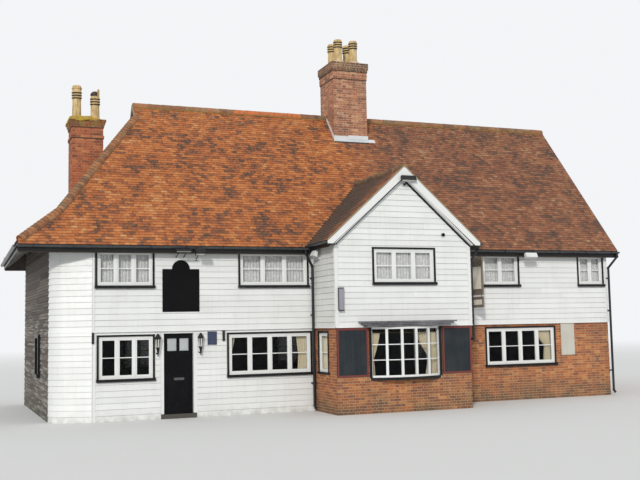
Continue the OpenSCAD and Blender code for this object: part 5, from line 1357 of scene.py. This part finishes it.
# The hanging sign's faces: mouldings round a bare panel above, and round a small one below
hanging = {"left": 3.032, "right": 3.050, "rim": 0.045, "panel": (3.36, 4.02), "small": 2.97, "smallHigh": 0.15,
           "bars": (3.29, 3.335, 4.045, 4.10, 4.19), "bar": 0.018}
signFar, signNear = low("hanging_sign").y + 0.04 + hanging["rim"], frontY - 0.09 - hanging["rim"]
signMiddle, signWide = (signFar + signNear) / 2, signNear - signFar
panelMidZ, panelHigh = sum(hanging["panel"]) / 2, hanging["panel"][1] - hanging["panel"][0]
panels, mouldings = [], []
for x, out in ((hanging["left"], -1), (hanging["right"], 1)):
    for z, tall in ((panelMidZ, panelHigh), (hanging["small"], hanging["smallHigh"])):
        panels.append(((x + out * 0.0025, signMiddle, z), (0.005, signWide - 0.05, tall)))
    for z in hanging["bars"]:
        mouldings.append(((x + out * 0.005, signMiddle, z), (0.010, signWide - 0.01, hanging["bar"])))
    for side in (-1, 1):
        mouldings.append(((x + out * 0.005, signMiddle + side * (signWide / 2 - 0.014), panelMidZ),
                          (0.010, hanging["bar"], panelHigh + 0.07)))
layBars("sign_panels", "signPanel", panels)
layBars("sign_mouldings", "signWood", mouldings)

# Frames of the two menu boards, over the rims of the solids
menus = {"rim": 0.047, "deep": 0.034}
frames = []
for lo, hi in solidBoxes("menu_boards"):
    across, tall, middle = hi.x - lo.x, hi.z - lo.z, (lo + hi) / 2
    y = hi.y - menus["deep"] / 2
    for side in (-1, 1):
        frames.append(((middle.x + side * (across - menus["rim"]) / 2, y, middle.z),
                       (menus["rim"], menus["deep"], tall)))
        frames.append(((middle.x, y, middle.z + side * (tall - menus["rim"]) / 2),
                       (across - 2 * menus["rim"], menus["deep"], menus["rim"])))
layBars("menu_frames", "maroonPaint", frames)


def trimRound(face, box, wide, deep, lap):
    s0, s1, z0, z1 = face.hole(box)
    sides, high, turn = wide / 2 - lap, z1 - z0 + 2 * (wide - lap), (0, 0, face.turn)
    return [
        (face.place(s0 - sides, (z0 + z1) / 2, deep / 2), (wide, deep, high), turn),
        (face.place(s1 + sides, (z0 + z1) / 2, deep / 2), (wide, deep, high), turn),
        (face.place((s0 + s1) / 2, z1 + sides, deep / 2), (s1 - s0 + 2 * lap, deep, wide), turn),
        (face.place((s0 + s1) / 2, z0 - sides, deep * 0.7), (s1 - s0 + 2 * wide + 0.04, deep * 1.4, wide), turn),
    ]


# Black trims that stand out round the two narrow side windows
layBars("side_trims", "blackPaint", (
    *trimRound(sideFace, sideBoxes[0], 0.095, 0.085, 0.012),
    *trimRound(wingSideLeft, returnBoxes[0], 0.060, 0.022, 0.014)))


def rimmedPlate(x, y, z, wide, thick, tall, rim, lift):
    # A plate with a raised edge all round, standing on a wall that faces the street
    front = y - thick / 2 - lift / 2
    parts = [((x, y, z), (wide, thick, tall))]
    for side in (-1, 1):
        parts.append(((x + side * (wide - rim) / 2, front, z), (rim, lift, tall)))
        parts.append(((x, front, z + side * (tall - rim) / 2), (wide - 2 * rim, lift, rim)))
    return parts


# Small fittings on the walls
plateX, plateZ, doorMidX, doorFaceY = leftX + 6.26, 3.06, -5.80, -3.499
layBars("wall_brackets", "blackMetal", [
    ((leftX + x, lowerY - 0.03, 2.155), (0.06, 0.06, 0.29)) for x in (0.015, 3.49)])
layBars("wall_plaque", "plaqueBlue",
        rimmedPlate(leftX + 3.17, lowerY - 0.030, 2.09, 0.25, 0.020, 0.35, 0.018, 0.006))
layBars("wing_plate", "blueGreyPaint",
        rimmedPlate(plateX, wingY - 0.067, plateZ, 0.125, 0.090, 0.58, 0.012, 0.008))
layBars("wing_plate_edges", "blackMetal", (
    *(((plateX, wingY - 0.07, plateZ + up), (0.14, 0.12, 0.022)) for up in (0.298, -0.298)),
    *(((plateX + across, wingY - 0.045, plateZ), (0.012, 0.06, 0.58)) for across in (-0.066, 0.066)),
))
layBars("bell_box", "blackMetal", [
    ((leftX + 9.395, wingY - 0.045, 4.835), (0.070, 0.07, 0.070), (0, angle, 0)) for angle in (0, math.pi / 4)])
layBars("letter_plate", "letterMetal", (
    ((doorMidX, doorFaceY - 0.004, 1.03), (0.27, 0.012, 0.062)),
    ((doorMidX, doorFaceY - 0.010, 1.03), (0.20, 0.010, 0.030)),
), "door")

hangers = {"count": 19, "first": 0.35, "apart": 0.98, "size": (0.022, 0.122, 0.092)}
gutterHangers = []
for k in range(hangers["count"]):
    x = roofLeft + hangers["first"] + k * hangers["apart"]
    if abs(x - wingMid) > wingHalf + 0.1 and x < roofRight - 0.05:
        for side in (-1, 1):
            gutterHangers.append(((x, side * (abs(eavesY) + 0.08), low("gutters").z + 0.046), hangers["size"]))
layBars("gutter_hangers", "blackPlastic", gutterHangers)

# Rafters that show under the left eaves
rafters = {"wide": 0.05, "deep": 0.09, "apart": 0.42, "reach": 0.72, "first": -3.57, "count": 18}
bellRun = Vector((math.cos(bellAngle), math.sin(bellAngle)))
middle = bellRun * (rafters["reach"] / 2 + 0.02) + Vector((bellRun.y, -bellRun.x)) * (rafters["deep"] / 2)
rafterX, rafterZ = roofLeft + middle.x + 0.03, low("left_hip_roof").z + middle.y + 0.02
layBars("eaves_rafters", "wornWhite", [
    ((rafterX, rafters["first"] + k * rafters["apart"], rafterZ), (rafters["reach"], rafters["wide"], rafters["deep"]),
     (0, -bellAngle, 0)) for k in range(rafters["count"])])

# Lenses of the lamps, inside their rims; the last lamp, at the corner, faces along x
lamps = {"tilt": deg(20), "rim": 0.014, "thin": 0.004, "all": (
    ((-5.35, -4.145, 4.375), 0.26, 0.13, 0.0715), ((0.165, -5.52, 6.35), 0.43, 0.13, 0.0715),
    ((-5.795, -4.145, 4.41), 0.41, 0.078, 0.0305), ((4.94, -4.145, 4.375), 0.40, 0.13, 0.0715),
    ((-2.17, -4.265, 4.35), 0.26, 0.13, 0.0715),
)}
lenses = []
tiltSin, tiltCos = math.sin(lamps["tilt"]), math.cos(lamps["tilt"])
for place, across, deep, down in lamps["all"]:
    wide, tall = across - 2 * lamps["rim"], deep - 2 * lamps["rim"]
    if place == lamps["all"][-1][0]:
        middle, size, turn = Vector((-tiltSin, 0, -tiltCos)), (tall, wide, lamps["thin"]), (0, lamps["tilt"], 0)
    else:
        middle, size, turn = Vector((0, -tiltSin, -tiltCos)), (wide, tall, lamps["thin"]), (-lamps["tilt"], 0, 0)
    lenses.append((Vector(place) + middle * down, size, turn))
layBars("lamp_lenses", "lampGlass", lenses)

# Panes of the two wall lanterns, a hair outside their tapering sides
lantern = {"x": (-6.40, -5.25), "radius": 0.08, "high": 0.6, "foot": 1.64, "heights": (0.37, 0.78),
           "radii": (0.575, 0.98)}
z0, z1 = (lantern["foot"] + lantern["high"] * share for share in lantern["heights"])
radius0, radius1 = (lantern["radius"] * share * math.cos(math.pi / 6) for share in lantern["radii"])
lean = math.atan2(radius1 - radius0, z1 - z0)
lanternPanes = []
for x in lantern["x"]:
    middle = Vector((x, lowerY - lantern["radius"] * 1.3, 0))
    for k in range(6):
        angle = math.pi / 6 + k * math.pi / 3
        out = Vector((math.cos(angle), math.sin(angle), 0))
        centre = middle + out * ((radius0 + radius1) / 2 + 0.001) + Vector((0, 0, (z0 + z1) / 2))
        turn = (Matrix.Rotation(angle, 3, "Z") @ Matrix.Rotation(lean, 3, "Y")).to_euler()
        lanternPanes.append((centre, (0.003, 0.036, (z1 - z0) * 0.86), turn))
layBars("lantern_panes", "lampGlass", lanternPanes)

# Curtains, each one sheet of cloth hung from a rod
curtains = {"perFold": 8, "rowHigh": 0.07, "rod": 0.014}


def foldDepth(width, arc, folds):
    # How deep a wave of this many folds is when so long a cloth is gathered to a width
    shallow, deep = 0.0, 0.3
    step = width / folds / curtains["perFold"]
    waves = [math.sin(2 * math.pi * k / curtains["perFold"]) for k in range(curtains["perFold"] + 1)]
    for _ in range(24):
        middle = (shallow + deep) / 2
        if folds * sum(math.hypot(step, middle * (b - a)) for a, b in zip(waves, waves[1:])) < arc:
            shallow = middle
        else:
            deep = middle
    return middle


def hangCloth(name, finish, topZ, footZ, plane, folds, gather, outline, onSide=False):
    # outline gives the left and right edge at a share of the drop, from 0 at the rod to 1 at the hem; plane is
    # how far back the cloth hangs, or how far across where it hangs in a side wall
    dice = random.Random(len(name) * 7 + folds)
    columns = folds * curtains["perFold"]
    drift = [dice.uniform(-0.35, 0.35) for _ in range(columns + 1)]
    left, right = outline(0.0)
    arc, long = (right - left) * gather, topZ - footZ
    rows = max(3, round(long / curtains["rowHigh"]))
    verts, faces, flat = [], [], []
    for row in range(rows + 1):
        share = row / rows
        x0, x1 = outline(share)
        depth = foldDepth(x1 - x0, arc, folds)
        for column in range(columns + 1):
            across = column / columns
            wave = math.sin(2 * math.pi * folds * across + drift[column] * share * 0.5)
            spot = (x0 + (x1 - x0) * across, plane + depth * wave)
            verts.append((*(reversed(spot) if onSide else spot), topZ - long * share))
            flat.append((arc * across, long * (1 - share)))
            if row < rows and column < columns:
                k = row * (columns + 1) + column
                faces.append((k, k + columns + 1, k + columns + 2, k + 1))
    mesh = newMesh(name, verts, faces)
    layer = mesh.uv_layers.new(name="flat")
    for loop in mesh.loops:
        layer.data[loop.index].uv = flat[loop.vertex_index]
    mesh.materials.append(finishes[finish])
    mesh.shade_smooth()
    made = newObject(name, mesh)
    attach(made, "building")
    print("stage:", name, "flat", round(arc, 3), "by", round(long, 3))


def straight(left, right):
    return lambda share: (left, right)


def tiedBack(fixed, free, tie, tied, hem):
    # fixed is the edge at the reveal; the free edge runs in to tied at the tie and out to hem below it
    def outline(share):
        if share < tie:
            edge = free + (tied - free) * (share / tie) ** 1.4
        else:
            edge = tied + (hem - tied) * ((share - tie) / (1 - tie)) ** 0.7
        return (min(fixed, edge), max(fixed, edge))
    return outline


rod, rods = curtains["rod"], []
frontFrames = sorted(solidBoxes("upper_window_frames"), key=lambda box: box[0].x)
for label, (lo, hi) in zip(("a", "b", "wing", "c", "d"), frontFrames):
    planeY, width = hi.y + 0.035, hi.x - lo.x - 0.02
    topZ, footZ = hi.z - 0.055, lo.z + 0.02
    rods.append((((lo.x + hi.x) / 2, planeY, topZ), (hi.x - lo.x, rod, rod)))
    if label == "a":
        # Two short drapes at the top of the first light, in front of the net
        split, dropZ = lo.x + width * 0.335, (topZ + footZ) / 2
        for side, *edges in (("left", lo.x + 0.01, lo.x + width * 0.165, 0.95, lo.x + 0.06, lo.x + 0.07),
                             ("right", split, lo.x + width * 0.175, 0.95, split - 0.05, split - 0.06)):
            hangCloth("drape_a_" + side, "netCurtain", topZ, dropZ, planeY - 0.022, 3, 1.3, tiedBack(*edges))
    hangCloth("net_" + label, "netCurtain", topZ, footZ, planeY, round(width / 0.085), 1.3,
              straight(lo.x + 0.01, hi.x - 0.01))

lowerFrames = sorted((box for box in frameBoxes if box[1].y < lowerY + 0.2 and box[1].x - box[0].x > 1.0),
                     key=lambda box: box[0].x)
(lo1, hi1), (lo2, hi2) = lowerFrames[1:3]
groundCurtains = {
    "b": (lo1, hi1, (("left", 5, lo1.x + 0.01, lo1.x + 0.22, 0.55, lo1.x + 0.075, lo1.x + 0.11),
                     ("right", 6, hi1.x - 0.01, hi1.x - 0.36, 0.55, hi1.x - 0.30, hi1.x - 0.33))),
    "c": (lo2, hi2, (("right", 7, hi2.x - 0.06, hi2.x - (hi2.x - lo2.x) / 4, 0.5, hi2.x - 0.26, hi2.x - 0.30),)),
}
for label, (lo, hi, cloths) in groundCurtains.items():
    planeY, topZ = hi.y + 0.06, hi.z - 0.05
    rods.append((((lo.x + hi.x) / 2, planeY, topZ), (hi.x - lo.x, rod, rod)))
    for side, folds, *edges in cloths:
        hangCloth(f"curtain_{label}_{side}", "creamCurtain", topZ, lo.z + 0.02, planeY, folds, 2.0, tiedBack(*edges))

bayPlane, bayTop, bayFoot = bayHigh.y + 0.055, bayHigh.z - 0.16, bayLow.z + 0.03
rods.append(((bayMid, bayPlane, bayTop), (bayWide, rod, rod)))
for side, folds, *edges in (
        ("left", 7, bayLow.x + 0.03, bayLow.x + bayLight * 0.78, 0.6, bayLow.x + 0.12, bayLow.x + 0.16),
        ("right", 10, bayHigh.x - 0.03, bayHigh.x - bayLight * 1.55, 0.6, bayHigh.x - bayLight * 0.62,
         bayHigh.x - bayLight * 0.9)):
    hangCloth("bay_curtain_" + side, "creamCurtain", bayTop, bayFoot, bayPlane, folds, 2.0, tiedBack(*edges))
lo, hi = returnBoxes[0]
rods.append(((hi.x + 0.05, (lo.y + hi.y) / 2, hi.z - 0.05), (rod, hi.y - lo.y, rod)))
hangCloth("curtain_wing_side", "creamCurtain", hi.z - 0.05, lo.z + 0.02, hi.x + 0.05, 5, 1.8,
          straight(lo.y + 0.01, hi.y - 0.01), True)
layBars("curtain_rods", "brass", rods)
print("stage: pieces done")


# The stage: camera, floor, lamps and background
camera = {"place": (-11.235, -28.202, 2.407), "lens": 52.25, "pan": -21.118, "tilt": 5.183, "roll": -1.092}
cameraData = bpy.data.cameras.new("camera")
cameraData.lens = camera["lens"]
cameraData.sensor_fit = "HORIZONTAL"
cameraData.sensor_width = 36.0
cameraData.clip_end = 500.0
cameraObject = newObject("camera", cameraData)
cameraObject.location = camera["place"]
turned = Matrix.Rotation(deg(camera["pan"]), 3, "Z") @ Matrix.Rotation(deg(90 + camera["tilt"]), 3, "X")
cameraObject.rotation_euler = (turned @ Matrix.Rotation(deg(camera["roll"]), 3, "Z")).to_euler()
bpy.context.scene.camera = cameraObject

floor = {"radius": 220.0, "near": 22.0, "far": 90.0, "color": (0.78, 0.78, 0.77, 1),
         "background": (0.90, 0.91, 0.93, 1)}
floorMesh = bmesh.new()
bmesh.ops.create_circle(floorMesh, cap_ends=True, segments=96, radius=floor["radius"])
floorData = bpy.data.meshes.new("floor")
floorMesh.to_mesh(floorData)
floorMesh.free()
floorObject = newObject("floor", floorData)
floorObject.location.z = -0.002


def clearTree(owner):
    owner.use_nodes = True
    owner.node_tree.nodes.clear()
    return owner.node_tree


def mostSeen(tree, *rays):
    # 1 for a ray of one of these kinds
    seen = addNode(tree, "ShaderNodeLightPath").outputs
    total = Value(tree, seen[rays[-1]])
    for ray in reversed(rays[:-1]):
        total = Value(tree, seen[ray]).most(total)
    return total


# A pale floor that runs out into the background far from the building
floorData.materials.append(bpy.data.materials.new("floorFinish"))
tree = clearTree(floorData.materials[0])
distance = addNode(tree, "ShaderNodeVectorMath", {0: objectPlace(tree)}, operation="LENGTH").outputs["Value"]
ends = {0: distance, 1: floor["near"], 2: floor["far"]}
far = Value(tree, addNode(tree, "ShaderNodeMapRange", ends, interpolation_type="SMOOTHSTEP").outputs[0])
near = addNode(tree, "ShaderNodeBsdfDiffuse", {"Color": floor["color"]}).outputs[0]
backdrop = addNode(tree, "ShaderNodeEmission", {"Color": floor["background"]}).outputs[0]
share = far * mostSeen(tree, "Is Camera Ray", "Is Glossy Ray")
mixed = addNode(tree, "ShaderNodeMixShader", {0: share, 1: near, 2: backdrop}).outputs[0]
tree.links.new(mixed, tree.nodes.new("ShaderNodeOutputMaterial").inputs[0])

light = {"sky": 0.69, "skyColor": (0.95, 0.98, 1.0, 1), "sun": 1.72, "sunAngle": 5, "sunFrom": (-0.51, -0.79, 0.38)}
bpy.context.scene.world = bpy.data.worlds.new("studio")
tree = clearTree(bpy.context.scene.world)
direct = mostSeen(tree, "Is Camera Ray", "Is Glossy Ray", "Is Transmission Ray")
glow = addNode(tree, "ShaderNodeBackground", {0: light["skyColor"], 1: light["sky"]}).outputs[0]
shown = addNode(tree, "ShaderNodeBackground", {0: floor["background"], 1: 1.0}).outputs[0]
mixed = addNode(tree, "ShaderNodeMixShader", {0: direct, 1: glow, 2: shown}).outputs[0]
tree.links.new(mixed, tree.nodes.new("ShaderNodeOutputWorld").inputs[0])
sunData = bpy.data.lights.new("sun", "SUN")
sunData.energy = light["sun"]
sunData.angle = deg(light["sunAngle"])
sunData.color = (1.0, 0.97, 0.92)
newObject("sun", sunData).rotation_euler = Vector(light["sunFrom"]).to_track_quat("Z", "Y").to_euler()

bpy.context.scene.view_settings.view_transform = "Standard"

for piece in unitPieces:
    bpy.data.objects.remove(piece)
